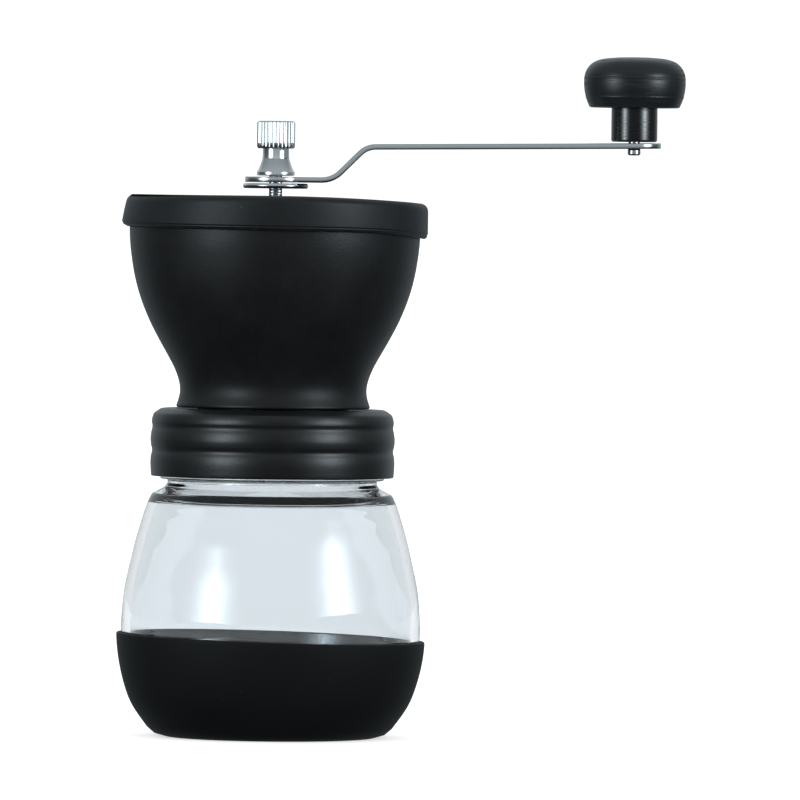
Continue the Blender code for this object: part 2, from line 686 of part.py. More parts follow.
def make_crank_arm():
    bm = bmesh.new()
    rings = []
    for x, z, slope in bar_path():
        width = bar_half_width(x)
        dx, dz = -sin(slope) * BAR_HALF_THICKNESS, cos(slope) * BAR_HALF_THICKNESS
        corners = [(x - dx, -width, z - dz), (x - dx, width, z - dz),
                   (x + dx, width, z + dz), (x + dx, -width, z + dz)]
        rings.append([bm.verts.new(corner) for corner in corners])
    for a, b in zip(rings, rings[1:]):
        for k in range(4):
            bm.faces.new((a[k], a[(k + 1) % 4], b[(k + 1) % 4], b[k]))
    bmesh.ops.remove_doubles(bm, verts=bm.verts, dist=0.001)
    bmesh.ops.holes_fill(bm, edges=bm.edges)
    bmesh.ops.recalc_face_normals(bm, faces=bm.faces)
    arm = finish(bm, "crank_arm", "stainless")
    keyed = flatted_cutter("crank_hole", SHAFT_BORE_R, SHAFT_FLAT + GAP, BAR_LOW_Z - 3,
                           BAR_LOW_Z + 3)
    boolean(arm, keyed, "DIFFERENCE")
    hole = rod(PIN_R + GAP, BAR_KNOB_Z - 3, BAR_KNOB_Z + 3, KNOB_X)
    boolean(arm, cutter_of(hole, "crank_pin_hole"), "DIFFERENCE")
    return arm


def make_hub_washer():
    top = WASHER_Z + WASHER_THICKNESS
    bm = turned([(PILOT_R, WASHER_Z), (WASHER_R - 0.9, WASHER_Z), (WASHER_R, WASHER_Z + 0.5),
                 (WASHER_R, top - 0.3), (WASHER_R - 0.4, top), (PILOT_R, top)], WIDE)
    washer = finish(bm, "hub_washer", "chrome")
    keyed = flatted_cutter("washer_hole", SHAFT_BORE_R, SHAFT_FLAT + GAP, WASHER_Z - 1, top + 1)
    boolean(washer, keyed, "DIFFERENCE")
    return washer


def make_knurled_nut():
    """A fluted head over a neck and a flared foot, with a blind bore for the shaft's end."""
    foot = [(NUT_BASE_R, NUT_Z), (NUT_BASE_R, NUT_Z + 1.1), (4.75, NUT_Z + 2.7),
            (4.15, NUT_Z + 4.2), (NUT_NECK_R, NUT_Z + 5.8), (NUT_NECK_R, NUT_HEAD_Z)]
    head = [(NUT_HEAD_R - 0.4, NUT_HEAD_Z), (NUT_HEAD_R, NUT_HEAD_Z + 0.4),
            (NUT_HEAD_R, NUT_TOP_Z - 0.5), (NUT_HEAD_R - 0.6, NUT_TOP_Z)]
    bore = [(0.0, NUT_TOP_Z), (0.0, SHAFT_TOP_Z + 0.6), (SHAFT_BORE_R, SHAFT_TOP_Z + 0.6),
            (SHAFT_BORE_R, NUT_Z)]
    outline = [*foot, *head, *bore]
    fluted = range(len(foot), len(foot) + len(head))

    def radius_at(angle, level):
        depth = NUT_FLUTE_DEPTH if level in fluted else 0.0
        return outline[level][0] - depth * (1 - cos(NUT_FLUTES * angle)) / 2

    bm = stacked([z for _, z in outline], radius_at, NUT_FLUTES * 2)
    return finish(bm, "knurled_nut", "chrome")


def make_knob_pin():
    """The rivet under the bar, which carries the knob on its long shank and head."""
    tail = 1.6
    low = BAR_KNOB_Z - BAR_HALF_THICKNESS - GAP - tail
    shank_r = PIN_R - 0.2
    head = STEM_TOP_Z + 0.9
    bm = turned([(0, low), (PIN_R - 0.35, low), (PIN_R, low + 0.4), (PIN_R, low + tail - 0.4),
                 (PIN_R - 0.1, low + tail), (shank_r, low + tail), (shank_r, head),
                 (PIN_HEAD_R, head), (PIN_HEAD_R, head + 0.9), (PIN_HEAD_R - 0.7, head + 1.5),
                 (0, head + 1.5)], NARROW)
    pin = finish(bm, "knob_pin", "stainless")
    pin.location.x = KNOB_X * MM
    return pin


def make_knob_sleeve():
    """The glossy stem, which turns on the pin. Its top fits into the cap's socket."""
    bore = PIN_R + GAP
    bm = turned([(bore, STEM_Z), (STEM_R - 0.4, STEM_Z), (STEM_R, STEM_Z + 0.4),
                 (STEM_R, CAP_Z + 3.0), (STEM_R - 1.2, CAP_Z + 3.0), (STEM_R - 1.2, STEM_TOP_Z),
                 (bore, STEM_TOP_Z)], 24)
    sleeve = finish(bm, "knob_sleeve", "gloss_plastic")
    sleeve.location.x = KNOB_X * MM
    return sleeve


def make_knob_cap():
    """A mushroom cap, hollow underneath, with a socket that grips the sleeve's top."""
    outer = smooth_curve([(13.0, CAP_Z), (14.0, CAP_Z + 2.9), (14.8, CAP_Z + 7.4),
                          (13.8, CAP_Z + 11.0), (11.0, CAP_Z + 13.5), (6.5, CAP_Z + 14.55)], 2)
    socket_r = STEM_R - 1.2 + GAP
    socket_top = STEM_TOP_Z + 3.0
    profile = [*outer, (0, CAP_TOP_Z), (0, socket_top), (socket_r, socket_top),
               (socket_r, CAP_Z + 3.3), (socket_r + 1.6, CAP_Z + 3.3), (socket_r + 2.0, CAP_Z + 9.0),
               (10.6, CAP_Z + 9.6), (12.2, CAP_Z + 7.2), (11.9, CAP_Z + 3.0), (11.6, CAP_Z)]
    cap = finish(turned(profile, 28), "knob_cap", "black_plastic")
    cap.location.x = KNOB_X * MM
    return cap


def main():
    clear_scene()
    make_silicone_base()
    make_glass_jar()
    make_threaded_collar()
    make_hopper_bowl()
    make_bearing_bridge()
    make_shaft_bushing()
    make_drive_shaft()
    make_stop_ring()
    make_thrust_washer()
    make_spring_washer()
    make_burr_spring()
    make_outer_burr()
    make_retainer_ring()
    for number in range(SCREW_COUNT):
        make_retainer_screw(number)
    make_inner_burr()
    make_lock_plate()
    make_adjusting_nut()
    make_lid()
    make_hub_washer()
    make_crank_arm()
    make_knurled_nut()
    make_knob_pin()
    make_knob_sleeve()
    make_knob_cap()


main()
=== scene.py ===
# %% [markdown]
# # A hand coffee grinder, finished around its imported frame
#
# The frame is the engineering model: every part at its real size and place, with its joints.
# This lesson gives each part the surface that the eye expects. It loads the frame, sets a
# camera and soft light, mixes the finishes, and then turns, mills and moulds each piece in
# mesh form so that it takes the place of its plain solid and moves with the same body.

# %% Load the frame
import json
from math import atan2, cos, hypot, pi, radians, sin, tau

import bmesh
import bpy
from mathutils import Matrix, Vector

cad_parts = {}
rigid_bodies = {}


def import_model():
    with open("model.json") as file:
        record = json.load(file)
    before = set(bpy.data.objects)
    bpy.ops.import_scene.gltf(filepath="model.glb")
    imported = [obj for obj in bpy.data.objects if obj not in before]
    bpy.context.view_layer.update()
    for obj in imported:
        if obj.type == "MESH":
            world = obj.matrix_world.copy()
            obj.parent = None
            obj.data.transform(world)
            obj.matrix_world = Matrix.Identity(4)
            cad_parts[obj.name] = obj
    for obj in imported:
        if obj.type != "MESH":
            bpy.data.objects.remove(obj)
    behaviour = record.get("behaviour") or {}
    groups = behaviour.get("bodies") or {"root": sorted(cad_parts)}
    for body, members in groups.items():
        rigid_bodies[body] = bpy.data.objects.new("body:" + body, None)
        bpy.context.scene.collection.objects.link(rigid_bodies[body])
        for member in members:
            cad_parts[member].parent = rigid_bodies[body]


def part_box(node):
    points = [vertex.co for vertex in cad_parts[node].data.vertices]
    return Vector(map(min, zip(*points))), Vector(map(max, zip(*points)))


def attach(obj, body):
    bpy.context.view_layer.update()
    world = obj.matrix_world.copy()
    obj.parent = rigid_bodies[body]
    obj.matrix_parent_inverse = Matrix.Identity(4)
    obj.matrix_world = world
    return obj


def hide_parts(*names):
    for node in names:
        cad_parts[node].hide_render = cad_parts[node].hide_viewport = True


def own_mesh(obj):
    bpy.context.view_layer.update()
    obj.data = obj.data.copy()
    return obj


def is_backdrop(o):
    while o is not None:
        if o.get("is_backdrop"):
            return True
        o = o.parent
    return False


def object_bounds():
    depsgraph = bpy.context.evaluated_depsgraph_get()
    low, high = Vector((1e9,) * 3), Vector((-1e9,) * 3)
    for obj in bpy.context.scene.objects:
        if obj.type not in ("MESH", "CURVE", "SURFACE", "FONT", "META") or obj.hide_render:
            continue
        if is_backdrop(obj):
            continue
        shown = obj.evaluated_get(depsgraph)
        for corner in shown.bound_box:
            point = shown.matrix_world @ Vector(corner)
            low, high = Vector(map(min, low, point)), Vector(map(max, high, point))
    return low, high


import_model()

cad_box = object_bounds()
MM = 0.001
print("frame box:", [[round(value / MM, 1) for value in corner] for corner in cad_box])

# %% [markdown]
# ## Where things are
#
# A turned part needs three facts: the height where it starts, the height where it ends, and
# its radius. `span` reads them from the frame's own solid, in millimetres, together with the
# x of the part's axis, because the knob stands away from the main axis. Outlines further
# down are drawn in millimetres and then stretched onto these facts by `fitted`, so a later
# change to the frame carries through.

# %% Read sizes from the frame
def span(node):
    low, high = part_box(node)
    return low.z / MM, high.z / MM, (high.x - low.x) / 2 / MM, (high.x + low.x) / 2 / MM


def fitted(outline, node):
    """The (r, z) outline stretched so that its height and radius are the node's own."""
    bottom, top, radius, _ = span(node)
    low = min(z for _, z in outline)
    tall = max(z for _, z in outline) - low
    wide = max(r for r, _ in outline)
    return [(r * radius / wide, bottom + (z - low) * (top - bottom) / tall) for r, z in outline]


for name in ("glass_jar", "hopper_bowl", "threaded_collar", "lid", "knurled_nut", "knob_cap"):
    print(name, [round(value, 2) for value in span(name)])

# %% [markdown]
# ## Camera
#
# A long lens from three metres away keeps the sides of the jar nearly parallel, as product
# pictures do. The camera stands at the height of the hopper's rim, so the lid is seen almost
# edge on. It is rolled by well under a degree, because the grinder leans a little to the right.

# %% Camera
PICTURE_WIDTH = 0.232  # metres across the picture at the grinder's axis
DISTANCE = 3.0
EYE_HEIGHT = 0.150
AIM = Vector((0.0368, 0.0, 0.0981))
ROLL = radians(0.68)
SENSOR = 36.0
scene = bpy.context.scene


def add_object(name, data):
    made = bpy.data.objects.new(name, data)
    scene.collection.objects.link(made)
    return made


def facing(place, target):
    """The turn that points a camera or a lamp from its place to the target."""
    return (target - place).to_track_quat("-Z", "Y").to_matrix().to_4x4()


camera = add_object("camera", bpy.data.cameras.new("camera"))
camera.data.sensor_width = SENSOR
camera.data.lens = SENSOR * DISTANCE / PICTURE_WIDTH
camera.data.clip_end = 200.0
camera.location = (AIM.x, -DISTANCE, EYE_HEIGHT)
roll = Matrix.Rotation(ROLL, 4, "Z")
camera.rotation_euler = (facing(camera.location, AIM) @ roll).to_euler()
bpy.context.scene.camera = camera
scene.view_settings.view_transform = "Standard"
print("lens:", round(camera.data.lens), "mm")

# %% [markdown]
# ## Floor, sky and soft boxes
#
# Shiny black plastic shows nothing but its surroundings, so the surroundings are the light.
# Everything the camera sees directly, or through the glass, is a white studio. Mirror
# reflections see a darker, cooler room with a pale wall far behind the grinder: that keeps
# the front of the plastic black and still draws a thin bright line along each edge. The
# floor is a white sheet with a little light from below, so the grinder throws no shadow.
# Two wide soft boxes in front, left and right, make the two broad highlights. Each fades
# towards its sides and its top, as cloth stretched over one lamp does.

# %% Nodes
def wire(tree, node, inputs):
    """Fills inputs with values, or with links from sockets or from a node's first output."""
    for name, value in inputs.items():
        if isinstance(value, bpy.types.Node):
            value = value.outputs[0]
        if isinstance(value, bpy.types.NodeSocket):
            tree.links.new(value, node.inputs[name])
        else:
            node.inputs[name].default_value = value


def add_node(tree, kind, inputs=None, **settings):
    made = tree.nodes.new("ShaderNode" + kind)
    for name, value in settings.items():
        setattr(made, name, value)
    wire(tree, made, inputs or {})
    return made


def grey(value):
    return (value, value, value, 1.0)

# %% World
WHITE = 1.12
COOL = (0.84, 0.95, 1.0)
world = bpy.data.worlds.new("white_studio")
scene.world = world
world.use_nodes = True
world.cycles.sampling_method = "NONE"  # reflections see only what their own rays meet
sky = world.node_tree
sky.nodes.clear()
direction = add_node(sky, "TexCoord").outputs["Generated"]
along = add_node(sky, "SeparateXYZ", {"Vector": direction}).outputs
behind = add_node(sky, "MapRange",
                  {"Value": along["Y"], "From Min": 0.30, "From Max": 0.98, "To Max": 0.42},
                  interpolation_type="SMOOTHSTEP")
height = add_node(sky, "MapRange",
                  {"Value": along["Z"], "From Min": -0.45, "From Max": 0.95, "To Max": 0.5},
                  interpolation_type="SMOOTHSTEP")
room = add_node(sky, "Math", {0: behind, 1: height}, operation="ADD")
cool_room = add_node(sky, "VectorMath", {0: COOL, "Scale": room}, operation="SCALE")
ray = add_node(sky, "LightPath").outputs
reflected = add_node(sky, "Math",
                     {0: ray["Is Glossy Ray"], 1: ray["Is Transmission Ray"]},
                     operation="SUBTRACT", use_clamp=True)
# A colour Mix node has its factor on socket 0, its two colours on 6 and 7, its result on 2.
seen = add_node(sky, "Mix", {0: reflected, 6: grey(WHITE), 7: cool_room}, data_type="RGBA")
light = add_node(sky, "Background", {"Color": seen.outputs[2], "Strength": 1.0})
add_node(sky, "OutputWorld", {"Surface": light})
print("world:", world.name)

# %% Floor
FLOOR_HALF = 60.0
bm = bmesh.new()
bmesh.ops.create_grid(bm, x_segments=1, y_segments=1, size=FLOOR_HALF)
floor_mesh = bpy.data.meshes.new("floor")
bm.to_mesh(floor_mesh)
bm.free()
floor_object = add_object("floor", floor_mesh)
floor_paint = bpy.data.materials.new("white_paper_floor")
floor_paint.use_nodes = True
paper = floor_paint.node_tree
wire(paper, paper.nodes["Principled BSDF"],
     {"Base Color": grey(0.66), "Roughness": 0.9, "Specular IOR Level": 0.1,
      "Emission Color": grey(1.0), "Emission Strength": 0.62})
floor_mesh.materials.append(floor_paint)
floor_object.visible_glossy = False
floor_object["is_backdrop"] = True
print("floor:", 2 * FLOOR_HALF, "m wide")

# %% Soft boxes
SIDE_POWER = 3.2  # how quickly a box fades from its middle to its sides
FULL_SHARE = 0.55  # it is fully bright up to this share of its height


def area_light(name, width, tall, radiance):
    """A rectangular light that the camera and diffuse rays do not see."""
    data = bpy.data.lights.new(name, "AREA")
    data.shape = "RECTANGLE"
    data.size, data.size_y = width, tall
    data.energy = radiance * pi * data.size * data.size_y
    lamp = add_object(name, data)
    lamp.visible_camera = False
    lamp.visible_diffuse = False
    return lamp


def soft_box(name, azimuth, low, high, width, distance, radiance):
    """A fading light that faces the grinder. Azimuth 0 is the camera's side."""
    lamp = area_light(name, width, high - low, radiance)
    lamp.data.use_nodes = True
    tree = lamp.data.node_tree
    tree.nodes.clear()
    across = add_node(tree, "NewGeometry").outputs["Parametric"]
    place = add_node(tree, "SeparateXYZ", {0: across}).outputs
    off_middle = add_node(tree, "Math", {0: place["X"], 1: 0.5}, operation="SUBTRACT")
    to_side = add_node(tree, "Math", {0: off_middle}, operation="ABSOLUTE")
    side_fade = add_node(tree, "MapRange",
                         {"Value": to_side, "From Min": 0.5, "From Max": 0.0})
    core = add_node(tree, "Math", {0: side_fade, 1: SIDE_POWER}, operation="POWER")
    top_fade = add_node(tree, "MapRange",
                        {"Value": place["Y"], "From Min": 1.0, "From Max": FULL_SHARE},
                        interpolation_type="SMOOTHSTEP")
    both = add_node(tree, "Math", {0: core, 1: top_fade}, operation="MULTIPLY")
    glow = add_node(tree, "Emission", {"Color": (*COOL, 1.0), "Strength": both})
    add_node(tree, "OutputLight", {0: glow})
    angle, middle = radians(azimuth), (low + high) / 2
    lamp.location = (distance * sin(angle), -distance * cos(angle), middle)
    lamp.rotation_euler = facing(lamp.location, Vector((0.0, 0.0, middle))).to_euler()


soft_box("soft_box_left", -46, 0.07, 0.50, 1.1, 0.95, 10.8)
soft_box("soft_box_right", 56, 0.12, 0.58, 1.1, 0.95, 12.0)

# %% [markdown]
# ## Colours and sizes in materials
#
# Colours are written as the sRGB hex values that a paint chart gives, and one function turns
# them to the linear values that shaders add and multiply. A pattern's scale is one over the
# size of its features, so `per` takes that size in millimetres.

# %% Colour and scale helpers
def colour(hex_value):
    channels = []
    for i in (0, 2, 4):
        c = int(hex_value[i:i + 2], 16) / 255
        channels.append(c / 12.92 if c <= 0.04045 else ((c + 0.055) / 1.055) ** 2.4)
    return (*channels, 1.0)


def per(size_mm):
    return 1.0 / (size_mm * MM)


def new_material(name):
    """A material with its node tree, its Principled shader and the object's coordinates."""
    made = bpy.data.materials.new(name)
    made.use_nodes = True
    tree = made.node_tree
    place = add_node(tree, "TexCoord").outputs["Object"]
    return made, tree, tree.nodes["Principled BSDF"], place


print("mid grey 808080 is linear", round(colour("808080")[0], 3))

# %% [markdown]
# ## Moulded plastic, three ways
#
# The bowl and collar are ABS moulded in a tool that was spark eroded, which leaves a fine
# even grain. It breaks a highlight into tiny points and keeps it broad. Real grain is about
# 0.1 mm; it is drawn at 0.45 mm here, because anything finer would vanish in the picture.
# The collar is the same plastic, but hands that unscrew it have polished the grain down.
# The lid is a softer polyethylene, a little paler and bluer, smudged by fingers and holding
# a few specks of dust. Each patch of smudge is also slightly rougher or smoother.

# %% Moulded plastics
DUST = colour("70787C")
SMUDGE_SPREAD = 0.03  # how far a smudge moves the roughness either way
GRAIN_SPREAD = 0.12  # how far a grain does


def dusted(tree, place, paint, speck_mm, most):
    """The paint with pale specks of dust in some patches. Most is how strong they get."""
    cells = add_node(tree, "TexVoronoi", {"Vector": place, "Scale": per(speck_mm)})
    speck = add_node(tree, "MapRange", {"Value": cells, "From Min": 0.09, "From Max": 0.05})
    patches = add_node(tree, "TexNoise",
                       {"Vector": place, "Scale": per(speck_mm * 3), "Detail": 3.0})
    some = add_node(tree, "MapRange",
                    {"Value": patches, "From Min": 0.55, "From Max": 0.7, "To Max": most})
    amount = add_node(tree, "Math", {0: speck, 1: some}, operation="MULTIPLY")
    return add_node(tree, "Mix", {0: amount, 6: paint, 7: DUST}, data_type="RGBA").outputs[2]


def moulded_plastic(name, dark, pale, roughness, shine, grain_mm, grain_height, smudge_mm,
                    dust=0.0):
    made, tree, shader, place = new_material(name)
    clouds = add_node(tree, "TexNoise",
                      {"Vector": place, "Scale": per(smudge_mm), "Detail": 4.0,
                       "Roughness": 0.6})
    tone = add_node(tree, "MapRange", {"Value": clouds, "From Min": 0.35, "From Max": 0.7})
    paint = add_node(tree, "Mix", {0: tone, 6: colour(dark), 7: colour(pale)},
                     data_type="RGBA").outputs[2]
    if dust > 0:
        paint = dusted(tree, place, paint, 2.4, dust)
    grain = add_node(tree, "TexNoise",
                     {"Vector": place, "Scale": per(grain_mm), "Detail": 2.0})
    smudged = add_node(tree, "MapRange",
                       {"Value": clouds, "From Min": 0.3, "From Max": 0.7,
                        "To Min": roughness - SMUDGE_SPREAD,
                        "To Max": roughness + SMUDGE_SPREAD})
    rough = add_node(tree, "Math", {0: grain, 1: GRAIN_SPREAD, 2: smudged},
                     operation="MULTIPLY_ADD")
    bump = add_node(tree, "Bump", {"Height": grain, "Distance": grain_height * MM})
    wire(tree, shader, {"Base Color": paint, "Roughness": rough, "Normal": bump, "IOR": 1.53,
                        "Specular IOR Level": shine})
    return made


ABS = moulded_plastic("abs_moulded_spark_grain", "090C0F", "0D1114", 0.39, 0.36, 0.45, 0.035,
                      14)
WORN_ABS = moulded_plastic("abs_moulded_worn_by_hands", "090C0E", "0D1012", 0.30, 0.5, 0.45,
                           0.030, 14)
LID_PE = moulded_plastic("polyethylene_moulded_satin", "080D11", "0D1318", 0.45, 0.38, 0.7,
                         0.014, 9, dust=0.5)
print("plastics:", ABS.name, WORN_ABS.name, LID_PE.name)

# %% [markdown]
# ## Scuffed and glossy plastic
#
# The knob's cap is polypropylene, polished by hands and crossed by fine scuffs that catch
# the light. Its stem is the same idea in glossy ABS, with a higher index that gives the
# deep shine. The scuffs are two noises stretched into lines on different slants.

# %% Knob plastics
def scuffed_plastic(name, dark, pale, roughness, scratch_mm, strength, ior):
    """Satin plastic with long thin scratches, which run round the knob and across it."""
    made, tree, shader, place = new_material(name)
    clouds = add_node(tree, "TexNoise", {"Vector": place, "Scale": per(6), "Detail": 5.0})
    paint = add_node(tree, "Mix", {0: clouds, 6: colour(dark), 7: colour(pale)},
                     data_type="RGBA").outputs[2]
    heights = []
    for slant, stretch in ((0.3, 26), (1.4, 34)):
        laid = add_node(tree, "Mapping",
                        {"Vector": place, "Rotation": (slant, 0.4, slant),
                         "Scale": (1.0, 1.0, stretch)})
        lines = add_node(tree, "TexNoise",
                         {"Vector": laid, "Scale": per(scratch_mm * stretch), "Detail": 3.0})
        heights.append(add_node(tree, "MapRange",
                                {"Value": lines, "From Min": 0.58, "From Max": 0.66}))
    both = add_node(tree, "Math", dict(enumerate(heights)), operation="MAXIMUM")
    rough = add_node(tree, "MapRange",
                     {"Value": both, "To Min": roughness, "To Max": roughness + 0.18})
    bump = add_node(tree, "Bump",
                    {"Height": both, "Strength": strength, "Distance": 0.004 * MM})
    wire(tree, shader, {"Base Color": paint, "Roughness": rough, "Normal": bump, "IOR": ior})
    return made


KNOB_PP = scuffed_plastic("polypropylene_moulded_scuffed", "0E1316", "141A1F", 0.34, 0.5, 0.7,
                          1.5)
GLOSS_ABS = scuffed_plastic("abs_moulded_gloss", "0A0C0E", "0F1214", 0.18, 0.25, 0.15, 1.66)
print("knob plastics:", KNOB_PP.name, GLOSS_ABS.name)

# %% [markdown]
# ## Silicone
#
# The sleeve round the jar is moulded silicone rubber: the blackest and least shiny part. It
# holds on to dust, so a scatter of pale specks, each a fraction of a millimetre, is mixed in.

# %% Silicone
def silicone_rubber(name):
    made, tree, shader, place = new_material(name)
    tones = add_node(tree, "TexNoise", {"Vector": place, "Scale": per(20), "Detail": 2.0})
    black = add_node(tree, "Mix",
                     {0: tones, 6: colour("060A0B"), 7: colour("080C0E")}, data_type="RGBA")
    paint = dusted(tree, place, black.outputs[2], 1.6, 0.35)
    skin = add_node(tree, "TexNoise", {"Vector": place, "Scale": per(0.35), "Detail": 2.0})
    bump = add_node(tree, "Bump", {"Height": skin, "Distance": 0.012 * MM})
    wire(tree, shader, {"Base Color": paint, "Roughness": 0.62, "Normal": bump, "IOR": 1.41,
                        "Specular IOR Level": 0.3})
    return made


SILICONE = silicone_rubber("silicone_rubber_moulded")
print("rubber:", SILICONE.name)

# %% [markdown]
# ## Jar glass
#
# The jar is pressed soda-lime glass, with an index of 1.52 and the faint green-grey that its
# iron gives. Pressing leaves a gentle waviness, so things seen through it wobble slightly.

# %% Jar glass
def pressed_glass(name):
    made, tree, shader, place = new_material(name)
    waves = add_node(tree, "TexNoise", {"Vector": place, "Scale": per(16), "Detail": 1.0})
    bump = add_node(tree, "Bump", {"Height": waves, "Distance": 0.03 * MM})
    wire(tree, shader, {"Base Color": colour("E1E6E9"), "Transmission Weight": 1.0,
                        "Roughness": 0.0, "IOR": 1.52, "Normal": bump})
    return made


GLASS = pressed_glass("soda_lime_glass_pressed")
print("glass:", GLASS.name)

# %% [markdown]
# ## Metals
#
# Three steels and a plating share one function. Chrome plate is nearly a mirror. The crank
# is stainless strip, polished along its length, so its fine lines run along x. The shaft is
# turned bar, whose tool marks run round it, and the spring is drawn wire. Metals keep the
# shader's default index of refraction.

# %% Metals
def metal(name, hex_value, roughness, line_mm, stretch, line_height):
    """Metal with fine lines. Stretch is how much longer a line is than wide, on x, y and z."""
    made, tree, shader, place = new_material(name)
    laid = add_node(tree, "Mapping",
                    {"Vector": place, "Scale": tuple(1.0 / s for s in stretch)})
    lines = add_node(tree, "TexNoise", {"Vector": laid, "Scale": per(line_mm), "Detail": 3.0})
    smears = add_node(tree, "TexNoise", {"Vector": place, "Scale": per(7), "Detail": 2.0})
    mixed = add_node(tree, "Math", {0: lines, 1: smears}, operation="MULTIPLY")
    rough = add_node(tree, "MapRange",
                     {"Value": mixed, "From Min": 0.12, "From Max": 0.4,
                      "To Min": roughness * 0.75, "To Max": roughness * 1.35})
    bump = add_node(tree, "Bump",
                    {"Height": lines, "Strength": 0.6, "Distance": line_height * MM})
    wire(tree, shader, {"Base Color": colour(hex_value), "Metallic": 1.0, "Roughness": rough,
                        "Normal": bump})
    return made


CHROME = metal("chrome_plate_bright", "DCDDDE", 0.07, 0.8, (1, 1, 1), 0.002)
STAINLESS = metal("stainless_strip_polished", "C9CBCC", 0.17, 0.16, (60, 1, 1), 0.004)
TURNED_STEEL = metal("stainless_bar_turned", "B9BABA", 0.24, 0.12, (8, 8, 1), 0.004)
WIRE_STEEL = metal("spring_steel_drawn", "8E9092", 0.3, 0.2, (1, 1, 6), 0.004)
print("metals:", CHROME.name, STAINLESS.name, TURNED_STEEL.name, WIRE_STEEL.name)

# %% [markdown]
# ## Ceramic and acetal
#
# The burrs are pressed and sintered alumina: off-white, faintly speckled and slightly rough.
# The bushing is turned from natural acetal, which is milky and a little smoother.

# %% Ceramic and acetal
def pale_solid(name, base, speckle, roughness, speck_mm, height_mm):
    made, tree, shader, place = new_material(name)
    specks = add_node(tree, "TexNoise",
                      {"Vector": place, "Scale": per(speck_mm), "Detail": 4.0})
    amount = add_node(tree, "MapRange", {"Value": specks, "From Min": 0.5, "From Max": 0.72})
    paint = add_node(tree, "Mix", {0: amount, 6: colour(base), 7: colour(speckle)},
                     data_type="RGBA").outputs[2]
    bump = add_node(tree, "Bump", {"Height": specks, "Distance": height_mm * MM})
    wire(tree, shader, {"Base Color": paint, "Roughness": roughness, "Normal": bump})
    return made


CERAMIC = pale_solid("alumina_pressed_sintered", "ECE8DE", "CFC8B8", 0.42, 0.5, 0.02)
ACETAL = pale_solid("acetal_natural_turned", "E9E8E0", "DEDCD2", 0.34, 0.9, 0.006)
print("pale solids:", CERAMIC.name, ACETAL.name)

# %% [markdown]
# ## Outlines
#
# Most of this grinder is turned: bowl, collar, jar, lid, nut and knob are each one outline
# spun round an axis. Three helpers draw outlines in (radius, height) millimetres. `rounded`
# turns listed corners into fillets, `flowing` runs a smooth curve through a few points, and
# `beside` moves a curve sideways, which is how a wall gets its inner face.

# %% Outline helpers
FILLET_STEPS = 5


def rounded(corners, steps=FILLET_STEPS):
    """A closed outline from (r, z, fillet radius) corners, each fillet as a short arc."""
    outline = []
    for i, (r, z, fillet) in enumerate(corners):
        here = Vector((r, z))
        back = Vector(corners[i - 1][:2]) - here
        ahead = Vector(corners[(i + 1) % len(corners)][:2]) - here
        if fillet <= 0 or back.length < 1e-6 or ahead.length < 1e-6:
            outline.append((r, z))
            continue
        half = back.angle(ahead) / 2
        reach = min(fillet / max(abs(sin(half) / cos(half)), 1e-6),
                    0.48 * back.length, 0.48 * ahead.length)
        start, end = here + back.normalized() * reach, here + ahead.normalized() * reach
        for k in range(steps + 1):
            t = k / steps
            point = start * (1 - t) ** 2 + here * 2 * t * (1 - t) + end * t ** 2
            outline.append((point.x, point.y))
    return outline


def flowing(points, steps):
    """A smooth open curve through the points, with this many steps in each span."""
    ends = [points[0], *points, points[-1]]
    curve = []
    for a, b, c, d in zip(ends, ends[1:], ends[2:], ends[3:]):
        for i in range(steps):
            t = i / steps
            curve.append(tuple(
                0.5 * (2 * b[k] + (c[k] - a[k]) * t
                       + (2 * a[k] - 5 * b[k] + 4 * c[k] - d[k]) * t * t
                       + (3 * b[k] - a[k] - 3 * c[k] + d[k]) * t ** 3)
                for k in (0, 1)))
    return [*curve, points[-1]]


def beside(points, distance):
    """The open curve moved sideways: away from the axis where it runs upwards."""
    moved = []
    for i, (r, z) in enumerate(points):
        before, after = points[max(i - 1, 0)], points[min(i + 1, len(points) - 1)]
        run = Vector((after[0] - before[0], after[1] - before[1])).normalized()
        moved.append((r + run.y * distance, z - run.x * distance))
    return moved


def sharp(points):
    """Plain (r, z) points as corners with no fillet."""
    return [(r, z, 0) for r, z in points]


def stepped(low, high, pitch):
    """Heights from the first to the second, about one pitch apart."""
    count = max(1, round(abs(high - low) / pitch))
    return [low + (high - low) * i / count for i in range(count + 1)]


print("a rounded square has", len(rounded([(0, 0, 1), (9, 0, 1), (9, 9, 1), (0, 9, 1)])), "points")

# %% [markdown]
# ## From outline to piece
#
# `turned` spins an outline a full turn and merges the seam. `add_piece` makes the object,
# smooths it with sharp edges kept, gives it its material, hangs it on the body that carries it
# and hides the plain solid it replaces.

# %% Mesh helpers
ROUND_STEPS = 144


def turned(outline, steps=ROUND_STEPS, x=0.0):
    """A bmesh in metres: the closed outline spun about the upright axis at x."""
    bm = bmesh.new()
    verts = [bm.verts.new((r * MM, 0.0, z * MM)) for r, z in outline]
    edges = [bm.edges.new(pair) for pair in zip(verts, verts[1:] + verts[:1])
             if max(pair[0].co.x, pair[1].co.x) > 1e-9]
    bmesh.ops.spin(bm, geom=verts + edges, axis=(0, 0, 1), cent=(0, 0, 0), steps=steps,
                   angle=tau, use_merge=True)
    bmesh.ops.remove_doubles(bm, verts=bm.verts, dist=1e-6)
    bmesh.ops.recalc_face_normals(bm, faces=bm.faces)
    bmesh.ops.translate(bm, vec=(x * MM, 0, 0), verts=bm.verts)
    return bm


def meshed(bm, name):
    mesh = bpy.data.meshes.new(name)
    bm.to_mesh(mesh)
    bm.free()
    return mesh


